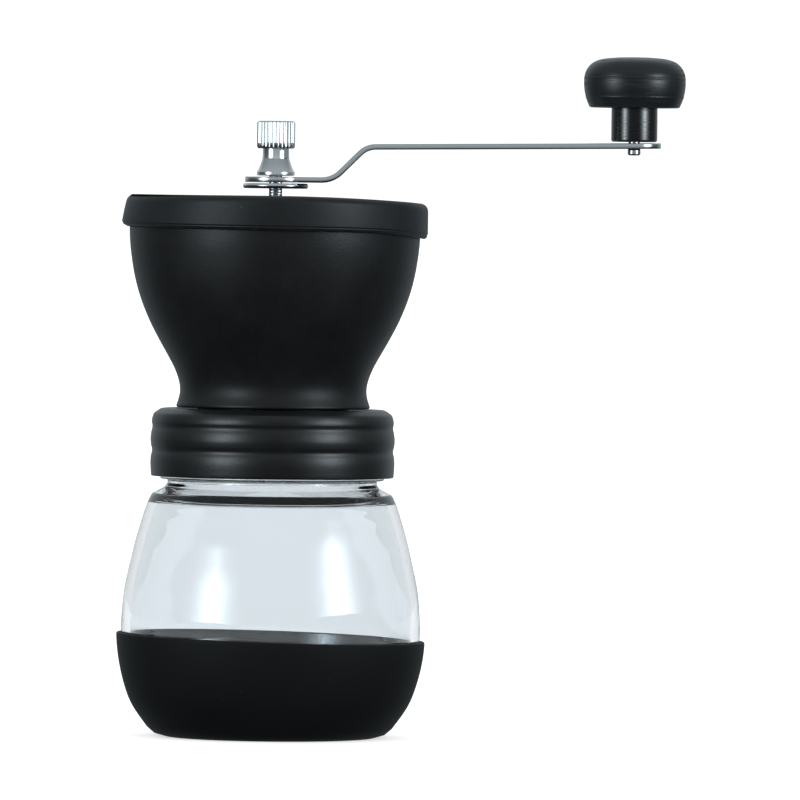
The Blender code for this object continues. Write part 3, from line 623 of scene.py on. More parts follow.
def add_piece(bm, name, body, node, material, keep_sharp=32):
    """The finished piece, smooth but for edges sharper than keep_sharp degrees."""
    mesh = meshed(bm, name)
    mesh.shade_smooth()
    mesh.set_sharp_from_angle(angle=radians(keep_sharp))
    mesh.materials.append(material)
    piece = add_object(name, mesh)
    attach(piece, body)
    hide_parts(node)
    print(f"{name}: {len(mesh.vertices)} points, rides {body}")
    return piece


def polar(vert):
    """A vertex as (radius, angle, height), with lengths in millimetres."""
    return hypot(vert.co.x, vert.co.y) / MM, atan2(vert.co.y, vert.co.x), vert.co.z / MM


def set_radius(vert, radius, angle):
    vert.co.x = radius * MM * cos(angle)
    vert.co.y = radius * MM * sin(angle)


def cut(bm, name, cutters):
    """The bmesh with each cutter bmesh taken out of it, by Boolean modifiers."""
    blank = add_object(name, meshed(bm, name))
    tools = [add_object(name + "_cutter", meshed(cutter, name)) for cutter in cutters]
    for tool in tools:
        modifier = blank.modifiers.new("cut", "BOOLEAN")
        modifier.operation = "DIFFERENCE"
        modifier.object = tool
    result = bmesh.new()
    result.from_object(blank, bpy.context.evaluated_depsgraph_get())
    for extra in [blank, *tools]:
        bpy.data.objects.remove(extra)
    return result


def thread(bm, root_r, crest_r, low, high, pitch, tolerance):
    """Raises a helical ridge on a plain cylinder wall, with its ends faded into the wall."""
    for vert in bm.verts:
        r, angle, z = polar(vert)
        if abs(r - root_r) > tolerance or not low < z < high:
            continue
        phase = ((z - low) / pitch - angle / tau) % 1.0
        ridge = max(0.0, min(1.0, 2.2 - abs(phase - 0.5) * 8))
        fade = min(1.0, (z - low) / pitch * 1.5, (high - z) / pitch * 1.5)
        set_radius(vert, r + (crest_r - root_r) * ridge * max(0.0, fade), angle)


print("round pieces have", ROUND_STEPS, "steps")

# %% [markdown]
# ## The glass jar
#
# A pressed jar is thick at the foot, bellied low down, and pinched to a short neck with a
# bead and a screw thread. The wall is drawn as two flowing curves 2.6 mm apart, because a
# real thickness is what makes glass bend the view at its edges. At the shoulder the glass
# is thicker, and there it bends the view up into the black collar, which draws a dark ring.
# The foot is slightly hollow underneath and domed inside, as pressed jars are.

# %% Glass jar
FOOT_R = 30.5
JAR_SIDE = [(FOOT_R, 1.7), (32.9, 2.4), *flowing([(34.6, 3.9), (39.8, 12.0), (43.1, 25.0),
            (42.9, 40.0), (40.0, 54.5), (37.6, 63.2), (36.15, 67.6)], 8)]
GLASS_WALL = 2.6
JAR_MOUTH = 90.5
NECK_R = 30.4
THREAD_CREST_R = 31.3
BORE_R = 27.6
THREAD_PITCH = 4.0

inside = [p for p in beside(JAR_SIDE, -GLASS_WALL) if 11.0 < p[1] < 65.4]
neck_rows = [(NECK_R, z, 0) for z in stepped(77.6, 88.6, 0.25)]
outline = rounded([
    (0, 2.9, 0), (20, 2.6, 0), (27.5, 1.9, 0), *sharp(JAR_SIDE),
    (34.9, 70.3, 1.6), (31.2, 72.2, 1.8), (NECK_R, 73.4, 0.6), (NECK_R, 74.4, 0.2),
    (32.5, 74.6, 0.5), (32.5, 75.8, 0.5), (NECK_R, 76.2, 0.3), *neck_rows,
    (NECK_R, JAR_MOUTH, 0.9), (BORE_R, JAR_MOUTH, 0.9), (BORE_R, 70.4, 1.6),
    (33.5, 67.4, 1.6), *sharp(inside[::-1]), (36.2, 9.4, 2.0), (33.0, 6.6, 3.0),
    (28.0, 5.6, 2.0), (12, 6.2, 0), (0, 6.4, 0)])
bm = turned(fitted(outline, "glass_jar"))
thread(bm, NECK_R, THREAD_CREST_R, 78.0, 88.4, THREAD_PITCH, 0.1)
add_piece(bm, "jar_of_pressed_glass", "jar", "glass_jar", GLASS, 60)

# %% [markdown]
# ## The silicone sleeve
#
# The sleeve is stretched over the jar, so it follows the jar's side 0.3 mm away and is
# 1.4 mm thick. It was pulled up a little further on one side, so its rounded rim slopes.

# %% Silicone sleeve
SLEEVE_TOP = 28.0
PULLED_UP = 2.0  # how much higher the rim is on the side away from the crank
HELD_UP_TO = 8.0  # below this height the sleeve did not stretch

wall = [p for p in JAR_SIDE if p[1] < SLEEVE_TOP - 0.3]
outer, inner = beside(wall, 1.7)[1:], beside(wall, 0.3)[1:]
outline = rounded([
    (0, 0, 0), (24.6, 0, 0.2), (25.0, 0.35, 0.2), (26.6, 0.35, 0.2), (27.0, 0, 0.2),
    (FOOT_R, 0, 1.0), *sharp(outer), (outer[-1][0] + 0.05, SLEEVE_TOP, 0.55),
    (inner[-1][0], SLEEVE_TOP, 0.25), *sharp(inner[::-1]), (FOOT_R, 1.4, 0), (0, 1.4, 0)])
bm = turned(fitted(outline, "silicone_base"))
for vert in bm.verts:
    r, angle, z = polar(vert)
    stretch = max(0.0, z - HELD_UP_TO) / (SLEEVE_TOP - HELD_UP_TO)
    vert.co.z += PULLED_UP * stretch ** 2 * (1 - r / 43.0 * cos(angle)) / 2 * MM
add_piece(bm, "sleeve_of_silicone", "jar", "silicone_base", SILICONE)

# %% [markdown]
# ## The screw collar
#
# The collar has three soft ribs to grip, a rounded shoulder, a thread inside its skirt and a
# socket that holds the burr. The ribs are a flowing curve through their tops and grooves.

# %% Screw collar
COLLAR_FOOT = 75.4
COLLAR_TOP = 95.1
SOCKET_R = 22.3

ribs = flowing([(35.25, COLLAR_FOOT + 0.7), (35.42, 79.2), (35.3, 81.2), (34.97, 82.9),
                (35.28, 84.4), (35.45, 86.2), (35.25, 88.1), (34.93, 89.7),
                (35.12, 91.0), (35.05, 92.1)], 5)
skirt_rows = [(33.0, z, 0) for z in stepped(88.6, 79.6, 0.25)]
outline = rounded([
    (35.15, COLLAR_FOOT, 0.35), *sharp(ribs), (34.6, 93.6, 1.6), (32.4, COLLAR_TOP, 2.4),
    (28.9, COLLAR_TOP, 0.3), (28.7, COLLAR_TOP - 0.4, 0.2), (SOCKET_R, COLLAR_TOP - 0.4, 0.3),
    (SOCKET_R, 81.2, 0.3), (25.5, 81.2, 0.4), (25.5, 91.6, 0.8), (33.0, 91.6, 0.6),
    *skirt_rows, (33.0, COLLAR_FOOT, 0.4)])
bm = turned(fitted(outline, "threaded_collar"))
wall = max(polar(v)[0] for v in bm.verts if 82 < polar(v)[2] < 84 and polar(v)[0] < 34)
thread(bm, wall, wall - 1.4, 80.2, 88.4, THREAD_PITCH, 0.1)
add_piece(bm, "screw_collar", "hopper", "threaded_collar", WORN_ABS, 45)

# %% [markdown]
# ## The hopper bowl
#
# The bowl flares from a narrow waist to a wide mouth. One flowing curve through its radii at
# fifteen heights gives the outside, and the same curve moved 2 mm inwards gives the inside.
# A fillet at its foot makes the dark crease where it meets the collar.

# %% Hopper bowl
BOWL_SIDE = flowing([(28.1, 95.9), (27.25, 98.7), (27.1, 101.2), (27.65, 103.8), (28.9, 107.0),
                     (30.9, 110.7), (33.4, 115.1), (35.85, 119.8), (37.85, 124.4),
                     (39.45, 129.0), (40.65, 133.7), (41.45, 138.3), (42.0, 143.0),
                     (42.2, 148.5), (42.25, 153.2)], 4)

inside = [p for p in beside(BOWL_SIDE, -2.0) if p[1] > 99.4]
outline = rounded([
    (20.0, 94.0, 0.3), (22.0, 94.0, 0.4), (22.0, 95.4, 0.1), (27.9, 95.4, 0.5),
    *sharp(BOWL_SIDE), (42.25, 154.0, 0.5), (40.25, 154.0, 0.5), *sharp(inside[::-1]),
    (24.8, 98.0, 0.8), (21.0, 98.0, 0.4), (20.0, 97.0, 0.4)])
bm = turned(fitted(outline, "hopper_bowl"))
add_piece(bm, "hopper_bowl_moulding", "hopper", "hopper_bowl", ABS, 45)

# %% [markdown]
# ## The lid
#
# The lid is a soft cap that was pushed on by hand, and it shows: it droops on the crank's
# side, and on the other side its skirt leans outwards. A bead runs round the foot of the
# skirt. The turned shape is drawn true first, and `settle` then bends it smoothly.

# %% Lid
SKIRT_R = 43.2  # everything further out than this is skirt


def settle(bm, skirt, top, radius):
    """Droops the cap towards +X and leans its skirt outwards at -X."""
    for vert in bm.verts:
        r, angle, z = polar(vert)
        side = r / radius * cos(angle)
        right, left = max(0.0, side), max(0.0, -side)
        share = (z - skirt) / (top - skirt)
        if r > SKIRT_R:
            tuck = max(0.0, 1 - share * 6) ** 2 * (0.7 + 0.7 * left ** 2)
            lean = 1.9 * left ** 2 * max(0.0, share) ** 1.3
            set_radius(vert, r - 0.25 * (1 - left) - lean - tuck, angle)
        at_top = -0.1 - 1.75 * right ** 2 + 0.3 * left ** 6
        at_skirt = 0.5 - 0.4 * side + 0.5 * left ** 4 - 1.7 * right ** 6
        vert.co.z += (at_skirt + (at_top - at_skirt) * share) * MM


bottom, top, radius, _ = span("lid")
under = top - 1.1
outline = rounded([
    (5.0, under, 0.3), (38.3, under, 0.3), (38.5, under - 3.4, 0.5),
    (39.7, under - 3.4, 0.5), (39.9, under, 0.3), (42.6, under, 0.4),
    (42.75, bottom, 0.4), (radius - 0.3, bottom, 0.6), (radius - 0.05, bottom + 0.6, 0.2),
    (radius - 0.05, bottom + 0.9, 0.1), (radius - 0.2, bottom + 1.2, 0.1),
    (radius, bottom + 1.6, 0.3), (radius, bottom + 5.5, 0),
    (radius, top - 0.2, 4.8), (39.7, top, 0.5), (38.6, top, 0.4), (38.0, top - 0.25, 0.4),
    (30, top - 0.1, 0), (20, top, 0), (9.6, top, 0.3), (9.2, top - 0.5, 0.3),
    (6.6, top - 0.5, 0.3), (6.3, top, 0.3), (5.0, top, 0.4)], 8)
bm = turned(outline)
settle(bm, bottom, top, radius)
add_piece(bm, "lid_soft_cap", "lid", "lid", LID_PE, 45)

# %% [markdown]
# ## The shaft
#
# The shaft is a turned steel bar, 5 mm across, with a fine screw thread at its upper end for
# the nut, and two flats that key the crank to it. The thread is a real helical ridge on
# closely spaced rows, and the flats are milled by holding points inside two planes.

# %% Shaft
SHAFT_PITCH = 0.8
SHAFT_FLAT = 1.9
FLAT_BELOW, FLAT_ABOVE = 98.5, 155.0  # the heights where the flats stop and start again

bottom, top, radius, _ = span("drive_shaft")
cuts = ((bottom + 1.0, 81.0), (148.0, top - 1.0))
low_rows, rows = [[(radius - 0.02, z, 0) for z in stepped(low, high, SHAFT_PITCH / 8)]
                  for low, high in cuts]
outline = rounded([
    (0, bottom, 0), (radius - 0.5, bottom, 0.1), (radius, bottom + 0.5, 0.1), *low_rows,
    (radius, 82.0, 0), (radius, 98.4, 0), (radius, 98.6, 0), (radius, 147.0, 0), *rows,
    (radius, top - 0.6, 0.1), (radius - 0.6, top, 0.1), (0, top, 0)])
bm = turned(outline, 72)
for low, high in cuts:
    thread(bm, radius - 0.02, radius - 0.4, low, high, SHAFT_PITCH, 0.01)
for vert in bm.verts:
    if not FLAT_BELOW <= vert.co.z / MM <= FLAT_ABOVE:
        vert.co.x = max(-SHAFT_FLAT * MM, min(SHAFT_FLAT * MM, vert.co.x))
add_piece(bm, "shaft_with_thread", "shaft", "drive_shaft", TURNED_STEEL, 40)

# %% [markdown]
# ## The crank
#
# The crank is one strip of stainless steel: a round plate at the hub, a bend up and over the
# lid's edge, and a long straight run to the knob. It could be extruded from its plan and
# bent, but a bend thins a sheared strip. Here a flat grid is laid along the bent centre line
# instead, pinched to the plan's width, thickened evenly and its edges broken by a bevel.

# %% Crank
BAR_THICKNESS = 1.6
BEND_R = 7.0
BEND_ANGLE = radians(45)
BEND_START = 13.3
CLIMB = radians(0.85)
PLATE_R = 8.9
STRIP_HALF = 7.0


def bar_line(low_z, high_z, end_x):
    """The bar's centre line as (x, z) points close together, from plate to rounded end.

    It runs level, bends up, bends back and then climbs slightly. high_z is at the end.
    """
    bend = [BEND_ANGLE * i / 30 for i in range(31)]
    wide, tall = BEND_R * sin(BEND_ANGLE), BEND_R * cos(BEND_ANGLE)
    # The upper bend's centre lies where both straight runs touch its circle.
    turn_x = end_x - BEND_R
    for _ in range(20):
        turn_z = high_z - (end_x - turn_x) * sin(CLIMB) / cos(CLIMB) - BEND_R / cos(CLIMB)
        climbed = turn_z + tall - (low_z + BEND_R - tall)
        turn_x = BEND_START + wide + climbed / (wide / tall) + wide
    line = [(-PLATE_R + (BEND_START + PLATE_R) * i / 30, low_z) for i in range(30)]
    line += [(BEND_START + BEND_R * sin(a), low_z + BEND_R * (1 - cos(a))) for a in bend]
    line += [(turn_x - BEND_R * sin(a), turn_z + BEND_R * cos(a)) for a in bend[::-1]
             if a > CLIMB]
    return [*line, (turn_x - BEND_R * sin(CLIMB), turn_z + BEND_R * cos(CLIMB)), (end_x, high_z)]


def walked(line, share):
    """The point this share of the way along a line of points."""
    lengths = [hypot(b[0] - a[0], b[1] - a[1]) for a, b in zip(line, line[1:])]
    left = share * sum(lengths)
    for (a, b), length in zip(zip(line, line[1:]), lengths):
        if left <= length:
            t = left / length
            return a[0] + (b[0] - a[0]) * t, a[1] + (b[1] - a[1]) * t
        left -= length
    return line[-1]


def strip_half_width(x, end_x):
    end_centre = end_x - STRIP_HALF
    if x > end_centre:
        return max(0.0, STRIP_HALF ** 2 - (x - end_centre) ** 2) ** 0.5
    plate = max(0.0, PLATE_R ** 2 - x * x) ** 0.5
    if x < 0:
        return plate
    # A fillet runs from the round plate into the strip.
    blend = max(0.0, 1.0 - x / (PLATE_R * 1.3))
    return max(plate, STRIP_HALF + (PLATE_R - STRIP_HALF) * blend ** 3 * 0.6)


bottom, top, _, _ = span("crank_arm")
low_z, high_z = bottom + BAR_THICKNESS / 2, top - BAR_THICKNESS / 2
end_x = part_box("crank_arm")[1].x / MM
line = bar_line(low_z, high_z, end_x)
bm = bmesh.new()
bmesh.ops.create_grid(bm, x_segments=150, y_segments=14, size=1.0)
for vert in bm.verts:
    # Stations crowd together at both ends, where the plan is round.
    share = (1 - cos(pi * (vert.co.x + 1) / 2)) / 2
    x, z = walked(line, share)
    half = strip_half_width(x, end_x)
    vert.co = Vector((x * MM, vert.co.y * half * MM, z * MM))
bmesh.ops.remove_doubles(bm, verts=bm.verts, dist=1e-6)
bmesh.ops.recalc_face_normals(bm, faces=bm.faces)
if sum(face.normal.z for face in bm.faces) < 0:
    bmesh.ops.reverse_faces(bm, faces=bm.faces)
bmesh.ops.translate(bm, vec=(0, 0, BAR_THICKNESS / 2 * MM), verts=bm.verts)
bmesh.ops.solidify(bm, geom=bm.faces, thickness=BAR_THICKNESS * MM)
bmesh.ops.recalc_face_normals(bm, faces=bm.faces)
rim = [edge for edge in bm.edges if edge.calc_face_angle(0) > radians(60)]
bmesh.ops.bevel(bm, geom=rim, offset=0.35 * MM, segments=3, profile=0.5, affect="EDGES",
                material=-1)
holes = []
# One hole has flats and fits the shaft. The other is round and fits the knob's rivet.
for x, z, radius, flat in ((0.0, low_z, 2.8, 2.2), (span("knob_pin")[3], high_z, 2.18, 9.0)):
    hole = bmesh.new()
    bmesh.ops.create_cone(hole, cap_ends=True, segments=48, radius1=radius * MM,
                          radius2=radius * MM, depth=8 * MM)
    for vert in hole.verts:
        vert.co.x = max(-flat * MM, min(flat * MM, vert.co.x))
    bmesh.ops.remove_doubles(hole, verts=hole.verts, dist=1e-7)
    bmesh.ops.translate(hole, vec=(x * MM, 0, z * MM), verts=hole.verts)
    holes.append(hole)
bm = cut(bm, "crank_blank", holes)
add_piece(bm, "crank_strip", "crank", "crank_arm", STAINLESS, 40)

# %% [markdown]
# ## Hub washer and nut
#
# Under the crank lies a polished disc with a softly rounded edge. On top sits a plated nut:
# a flared foot, a slim neck and a head with straight flutes that fingers can grip. Each
# rib between two flutes has a round crest; the flutes' ends show as little teeth below.

# %% Hub washer
bottom, top, radius, _ = span("hub_washer")
outline = rounded([(2.75, bottom + 0.3, 0.1), (6.0, bottom + 0.3, 0.4), (7.0, bottom, 0.5),
                   (radius - 0.5, bottom, 0.4), (radius, bottom + 0.75, 0.6),
                   (radius - 0.4, top, 0.4), (2.75, top, 0.1)], 6)
bm = turned(outline)
add_piece(bm, "hub_disc", "crank", "hub_washer", CHROME, 45)

# %% Fluted nut
FLUTES = 28
FLUTE_DEPTH = 0.45

bottom, top, radius, _ = span("knurled_nut")
head = top - 8.0
foot = flowing([(5.3, bottom + 1.35), (4.9, bottom + 2.1), (4.5, bottom + 3.1),
                (4.15, bottom + 4.2), (3.92, bottom + 5.0), (3.84, bottom + 5.9)], 5)
flute_rows = [(radius, z, 0) for z in stepped(head + 0.5, top - 0.5, 1.4)]
outline = rounded([
    (2.75, bottom, 0.2), (5.5, bottom, 0.4), (5.5, bottom + 1.1, 0.4), *sharp(foot),
    (3.84, head, 0.15), (radius - 0.35, head, 0.15), *flute_rows,
    (radius - 0.55, top, 0.25), (radius - 1.3, top, 0.1), (radius - 1.6, top - 0.2, 0.2),
    (0, top - 0.15, 0), (0, top - 2.0, 0), (2.75, top - 1.6, 0.1)])
bm = turned(outline, FLUTES * 10)
for vert in bm.verts:
    r, angle, z = polar(vert)
    if r < radius - 0.7 or z < head - 0.01:
        continue
    from_crest = abs(2 * ((angle * FLUTES / tau) % 1.0) - 1)
    set_radius(vert, r - FLUTE_DEPTH * from_crest ** 2.2, angle)
add_piece(bm, "fluted_nut", "nut", "knurled_nut", CHROME, 30)

# %% [markdown]
# ## The knob
#
# The knob is three pieces: a rivet through the strip, a glossy stem that turns on it, and a
# mushroom cap, which is hollow underneath to save plastic. Two faint rings on the cap are
# where parts of its mould met, so they are real ridges, a tenth of a millimetre high.

# %% Knob cap
FLASH = 0.12  # how high the ridges stand
FLASH_HEIGHTS = (2.9, 8.5)  # where they run, above the cap's foot

bottom, top, _, x = span("knob_cap")
side = flowing([(13.2, bottom + 0.25), (14.05, bottom + 2.3), (14.62, bottom + 4.6),
                (14.85, bottom + 7.0), (14.7, bottom + 9.3), (14.25, bottom + 10.7),
                (13.5, bottom + 11.9), (12.3, bottom + 13.0), (10.6, bottom + 13.8),
                (8.2, bottom + 14.3), (4.5, bottom + 14.6)], 12)
ridged = [(r + FLASH * sum(max(0.0, 1.0 - abs(z - bottom - ring) / 0.28)
                           for ring in FLASH_HEIGHTS), z) for r, z in side]
outline = rounded([
    *sharp(ridged), (0, top, 0), (0, bottom + 9.2, 0), (5.7, bottom + 9.2, 0.4),
    (5.7, bottom + 3.3, 0.2), (7.4, bottom + 3.3, 0.4), (7.8, bottom + 9.0, 0.8),
    (10.6, bottom + 9.6, 1.2), (12.3, bottom + 7.0, 1.0), (12.15, bottom + 3.0, 0.4),
    (11.9, bottom + 0.1, 0.3), (12.6, bottom, 0.3)])
bm = turned(fitted(outline, "knob_cap"), x=x)
add_piece(bm, "knob_cap_moulding", "knob", "knob_cap", KNOB_PP, 45)

# %% Knob stem
bottom, top, radius, x = span("knob_sleeve")
outline = rounded([
    (2.2, bottom, 0.2), (radius - 0.35, bottom, 0.3), (radius, bottom + 0.5, 0.3),
    (radius, bottom + 7.0, 0), (radius - 0.02, bottom + 13.6, 0.3),
    (radius - 1.2, bottom + 13.6, 0.2), (radius - 1.2, top, 0.2), (2.2, top, 0.2)])
bm = turned(outline, 96, x)
add_piece(bm, "knob_stem", "knob", "knob_sleeve", GLOSS_ABS)

# %% Knob rivet
bottom, top, _, x = span("knob_pin")
outline = rounded([
    (0, bottom + 0.25, 0), (0.7, bottom + 0.2, 0.2), (1.2, bottom, 0.2),
    (1.55, bottom, 0.2), (1.88, bottom + 0.4, 0.15), (1.88, bottom + 1.5, 0.15),
    (1.7, bottom + 2.0, 0.1), (1.68, bottom + 2.0, 0), (1.68, top - 1.5, 0.1),
    (3.1, top - 1.5, 0.2), (3.1, top - 0.6, 0.3), (2.4, top, 0.3), (0, top, 0)])
bm = turned(outline, 64, x)
add_piece(bm, "knob_rivet", "crank", "knob_pin", TURNED_STEEL)

# %% [markdown]
# ## The burrs
#
# A fixed ring and a turning cone, both ceramic, do the grinding. Their teeth slant, so beans
# are drawn down as the cone turns. Each is spun plain and then its wall is pushed in or out
# by a saw tooth that shifts round with height.

# %% Saw tooth
CONE_TEETH = 9
RING_TEETH = 16


def saw(turns):
    """A saw tooth from 0 to 1: a long rise and a short fall."""
    share = turns % 1.0
    return share / 0.78 if share < 0.78 else (1 - share) / 0.22


print("heights along a tooth:", [round(saw(i / 8), 2) for i in range(9)])

# %% Burr cone
TIP_R = 7.6
CONE_BAND = 1.3  # the height of the plain band below the teeth
CONE_TOOTH = 1.7  # how deep the teeth are cut

bottom, top, radius, _ = span("inner_burr")
side = [(radius + (TIP_R - radius) * t, bottom + CONE_BAND + (top - CONE_BAND - bottom) * t)
        for t in (i / 36 for i in range(37))]
pocket = bottom + 5.6
outline = [(2.8, bottom), (radius - 0.4, bottom), (radius, bottom + 0.4), *side,
           (5.9, top), (5.9, pocket), (2.8, pocket)]
bm = turned(outline, CONE_TEETH * 16)
for vert in bm.verts:
    r, angle, z = polar(vert)
    share = (z - bottom - CONE_BAND) / (top - bottom - CONE_BAND)
    if share <= 0.0 or r < 6.2:
        continue
    depth = CONE_TOOTH * min(1.0, share * 5) * min(1.0, (1.02 - share) * 8)
    lean = angle / tau + share * 0.22
    set_radius(vert, max(r - depth * saw(lean * CONE_TEETH), 6.3), angle)
add_piece(bm, "burr_cone", "burr_cone", "inner_burr", CERAMIC, 25)

# %% Burr ring
bottom, top, radius, _ = span("outer_burr")
rows = stepped(top, bottom, 0.4)
wall = [(17.3 + 1.1 * ((z - bottom) / (top - bottom) - 0.35) ** 2, z) for z in rows]
outline = [(radius - 0.4, bottom), (radius, bottom + 0.4), (radius, top - 0.4),
           (radius - 0.4, top), *wall]
bm = turned(outline, RING_TEETH * 10)
for vert in bm.verts:
    r, angle, z = polar(vert)
    if r > 18.2:
        continue
    share = (z - bottom) / (top - bottom)
    depth = 0.4 + 1.1 * share
    set_radius(vert, r + depth * saw((angle / tau + share * 0.12) * RING_TEETH), angle)
add_piece(bm, "burr_ring", "hopper", "outer_burr", CERAMIC, 25)

# %% [markdown]
# ## Under the burrs
#
# A black ring held by three screws keeps the burr ring in its socket. Below the cone sit a
# keyed plate and the adjusting nut, scalloped for fingers. All of this shows when the
# grinder is lifted off its jar.

# %% Retainer ring
bottom, top, radius, _ = span("burr_retainer_ring")
outline = rounded([(19.2, bottom, 0.3), (20.4, bottom, 0.2), (20.8, bottom + 0.3, 0.2),
                   (radius - 0.9, bottom + 0.3, 0.2), (radius - 0.5, bottom, 0.2),
                   (radius, bottom, 0.3), (radius, top, 0.3), (19.2, top, 0.3)])
add_piece(turned(outline), "retainer_ring_moulding", "hopper", "burr_retainer_ring",
          ABS)

# %% Screws with a cross recess
def block(size, place, turned_by=0.0):
    """A box to cut with, of this size in millimetres, turned about the upright axis."""
    bm = bmesh.new()
    bmesh.ops.create_cube(bm, size=1.0)
    bmesh.ops.scale(bm, vec=Vector(size) * MM, verts=bm.verts)
    bmesh.ops.rotate(bm, matrix=Matrix.Rotation(turned_by, 3, "Z"), verts=bm.verts)
    bmesh.ops.translate(bm, vec=Vector(place) * MM, verts=bm.verts)
    return bm


# Each screw is made on the main axis and then moved out to its place.
for number in (1, 2, 3):
    node = f"retainer_screw_{number}"
    bottom, top, radius, x = span(node)
    low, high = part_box(node)
    outline = rounded([(0, bottom, 0), (1.1, bottom, 0.4), (radius, bottom + 0.6, 0.4),
                       (radius, bottom + 1.3, 0.1), (0.9, bottom + 1.3, 0.1),
                       (0.9, top - 0.8, 0.1), (0, top, 0)])
    cross = [block((2.3, 0.42, 1.3), (0, 0, bottom), angle) for angle in (0.4, pi / 2 + 0.4)]
    bm = cut(turned(outline, 48), node + "_blank", cross)
    bmesh.ops.translate(bm, vec=(x * MM, (low.y + high.y) / 2, 0), verts=bm.verts)
    add_piece(bm, f"pan_screw_{number}", "hopper", node, TURNED_STEEL)

# %% Keyed plate
def flat_ring(node, bore, bore_edge, edge, steps=96):
    """A flat ring with rounded edges, at the node's own place."""
    bottom, top, radius, _ = span(node)
    return turned(rounded([(bore, bottom, bore_edge), (radius, bottom, edge),
                           (radius, top, edge), (bore, top, bore_edge)]), steps)


add_piece(flat_ring("lock_plate", 2.75, 0.1, 0.25, ROUND_STEPS), "keyed_plate", "burr_cone",
          "lock_plate", TURNED_STEEL)

# %% Adjusting nut
SCALLOPS = 12

bottom, top, radius, _ = span("adjusting_nut")
outline = rounded([(2.75, bottom + 0.6, 0.2), (5.6, bottom + 0.6, 0.3), (6.2, bottom, 0.3),
                   (radius - 0.5, bottom, 0.5), (radius - 0.5, top, 0.5), (2.75, top, 0.2)])
bm = turned(outline, SCALLOPS * 12)
for vert in bm.verts:
    r, angle, _ = polar(vert)
    if r > radius - 2.0:
        set_radius(vert, r + 0.5 * cos(SCALLOPS * angle) * min(1.0, r - radius + 2.0), angle)
add_piece(bm, "adjusting_nut_moulding", "adjuster", "adjusting_nut", GLOSS_ABS)

# %% [markdown]
# ## Inside the hopper
#
# A bridge with three arms carries the shaft in an acetal bushing. It is drawn flat, as a
# ring and a hub joined by arms, and extruded upwards in three stages. Washers, a snap ring and
# the spring complete the stack.

# %% Bridge helpers
def sector(ring, middle, half_width):
    """The ring's points within this many degrees of the middle angle, in order."""
    off = {vert: (atan2(vert.co.y, vert.co.x) - middle + pi) % tau - pi for vert in ring}
    inside = [vert for vert in ring if abs(off[vert]) < radians(half_width + 0.1)]
    return sorted(inside, key=off.get)


def raise_faces(bm, faces, rise, keep=False):
    """Extrudes the faces straight up by rise millimetres."""
    lifted = bmesh.ops.extrude_face_region(bm, geom=faces, use_keep_orig=keep)["geom"]
    bmesh.ops.translate(bm, vec=(0, 0, rise * MM),
                        verts=[part for part in lifted if isinstance(part, bmesh.types.BMVert)])

# %% Bridge
ARMS = 3
HUB_R, RIM_R = 6.5, 21.2
RIM_HEIGHT, ARM_HEIGHT = 3.2, 5.1

bottom, top, radius, _ = span("bearing_bridge")
bm = bmesh.new()
rings = [bmesh.ops.create_circle(bm, cap_ends=False, segments=72, radius=r * MM)["verts"]
         for r in (4.6, HUB_R, RIM_R, radius)]
for a, b in ((0, 1), (2, 3)):
    edges = {edge for vert in rings[a] + rings[b] for edge in vert.link_edges}
    bmesh.ops.bridge_loops(bm, edges=list(edges))
for k in range(ARMS):
    middle = pi / 3 + tau * k / ARMS
    bm.faces.new(sector(rings[1], middle, 15) + sector(rings[2], middle, 5)[::-1])
bmesh.ops.recalc_face_normals(bm, faces=bm.faces)
bmesh.ops.translate(bm, vec=(0, 0, bottom * MM), verts=bm.verts)
raise_faces(bm, list(bm.faces), RIM_HEIGHT, keep=True)
# First the arms and hub rise above the rim, and then the hub rises above the arms.
for limit, rise in (((HUB_R + RIM_R) / 2 + 3, ARM_HEIGHT - RIM_HEIGHT),
                    (HUB_R, top - bottom - ARM_HEIGHT)):
    middles = {face: face.calc_center_median() for face in bm.faces}
    highest = max(place.z for place in middles.values())
    raise_faces(bm, [face for face, place in middles.items()
                     if hypot(place.x, place.y) / MM < limit
                     and abs(place.z - highest) < 1e-5 and abs(face.normal.z) > 0.9], rise)
bmesh.ops.recalc_face_normals(bm, faces=bm.faces)
add_piece(bm, "bridge_moulding", "hopper", "bearing_bridge", ABS, 30)

# %% Washers and snap ring
for node in ("thrust_washer", "spring_washer"):
    add_piece(flat_ring(node, 2.8, 0.2, 0.2), node + "_polished", "shaft", node,
              TURNED_STEEL)
bottom, top, _, _ = span("shaft_stop_ring")
gap = block((2.6, 6, 3), (0, 4, (bottom + top) / 2))
bm = cut(flat_ring("shaft_stop_ring", 2.8, 0.2, 0.2), "snap_ring_blank", [gap])
add_piece(bm, "snap_ring", "shaft", "shaft_stop_ring", WIRE_STEEL)

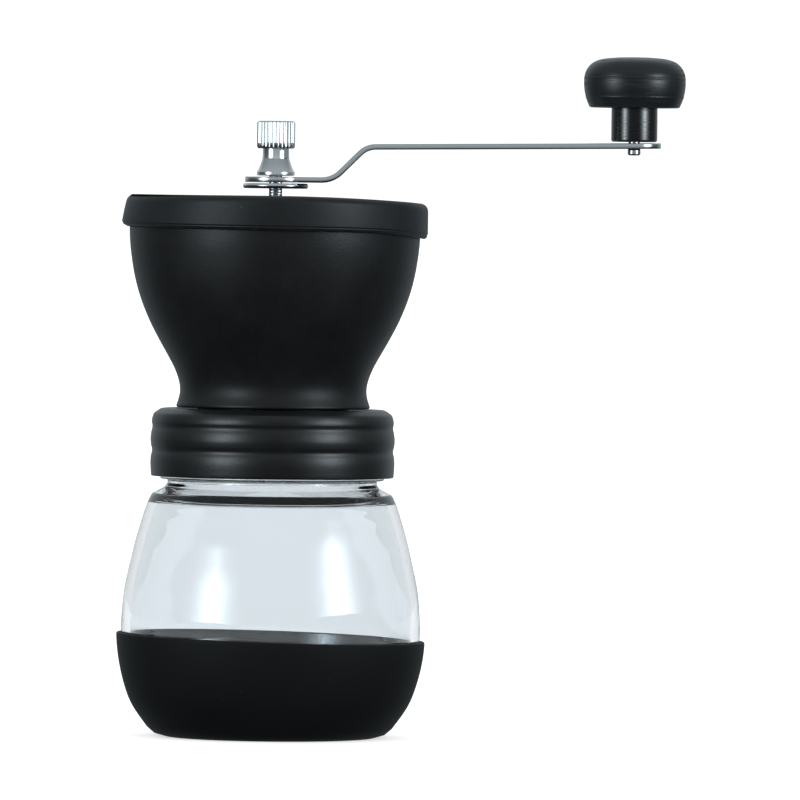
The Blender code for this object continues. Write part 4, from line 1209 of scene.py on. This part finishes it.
# %% Bushing
bottom, top, radius, _ = span("shaft_bushing")
outline = rounded([(2.8, bottom, 0.3), (4.3, bottom, 0.4), (4.3, top - 1.2, 0.2),
                   (radius, top - 1.2, 0.2), (radius, top, 0.4), (2.8, top, 0.3)])
add_piece(turned(outline, 96), "bushing_turned", "hopper", "shaft_bushing", ACETAL)

# %% Burr spring
# A round wire swept along a helix: one small circle is spun, with a rise at each step.
WIRE_R = 0.45
TURNS = 5
STEPS = TURNS * 40

bottom, top, radius, _ = span("burr_spring")
rise = (top - bottom - 2 * WIRE_R) / STEPS
bm = bmesh.new()
bmesh.ops.create_circle(bm, cap_ends=True, segments=16, radius=WIRE_R * MM)
bmesh.ops.rotate(bm, matrix=Matrix.Rotation(pi / 2, 3, "X"), verts=bm.verts)
bmesh.ops.translate(bm, vec=((radius - WIRE_R) * MM, 0, (bottom + WIRE_R) * MM), verts=bm.verts)
bmesh.ops.spin(bm, geom=list(bm.faces), axis=(0, 0, 1), cent=(0, 0, 0),
               dvec=(0, 0, rise * MM), steps=STEPS, angle=tau * TURNS)
bmesh.ops.recalc_face_normals(bm, faces=bm.faces)
spring = add_piece(bm, "burr_spring_wire", "shaft", "burr_spring", WIRE_STEEL)
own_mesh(spring)

# %% [markdown]
# ## A card for the metal
#
# Polished metal in front of a dark room looks black, so a photographer holds a white card in
# front of it. Here the card is a wide, weak light that is linked to the metal pieces alone,
# so it brightens the crank and the nut and leaves the black plastic black.

# %% White card
card = area_light("white_card", 3.2, 1.0, 0.36)
card.data.color = COOL
card.location = (0.05, -1.2, 0.16)
card.rotation_euler = (pi / 2, 0, 0)
metal_pieces = bpy.data.collections.new("metal_pieces")
metals = {CHROME, STAINLESS, TURNED_STEEL, WIRE_STEEL}
for obj in list(bpy.data.objects):
    if obj.type == "MESH" and metals & set(obj.data.materials):
        metal_pieces.objects.link(obj)
card.light_linking.receiver_collection = metal_pieces

# %% [markdown]
# ## Sizes
#
# The last lines note the box of the frame and the box of the finished model, which should be
# the same size.

# %% Sizes and finish
visual_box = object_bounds()
sizes = {"cad": [list(corner) for corner in cad_box], "visual": [list(c) for c in visual_box]}
for label, corners in sizes.items():
    print(label, [[round(value / MM, 2) for value in corner] for corner in corners])
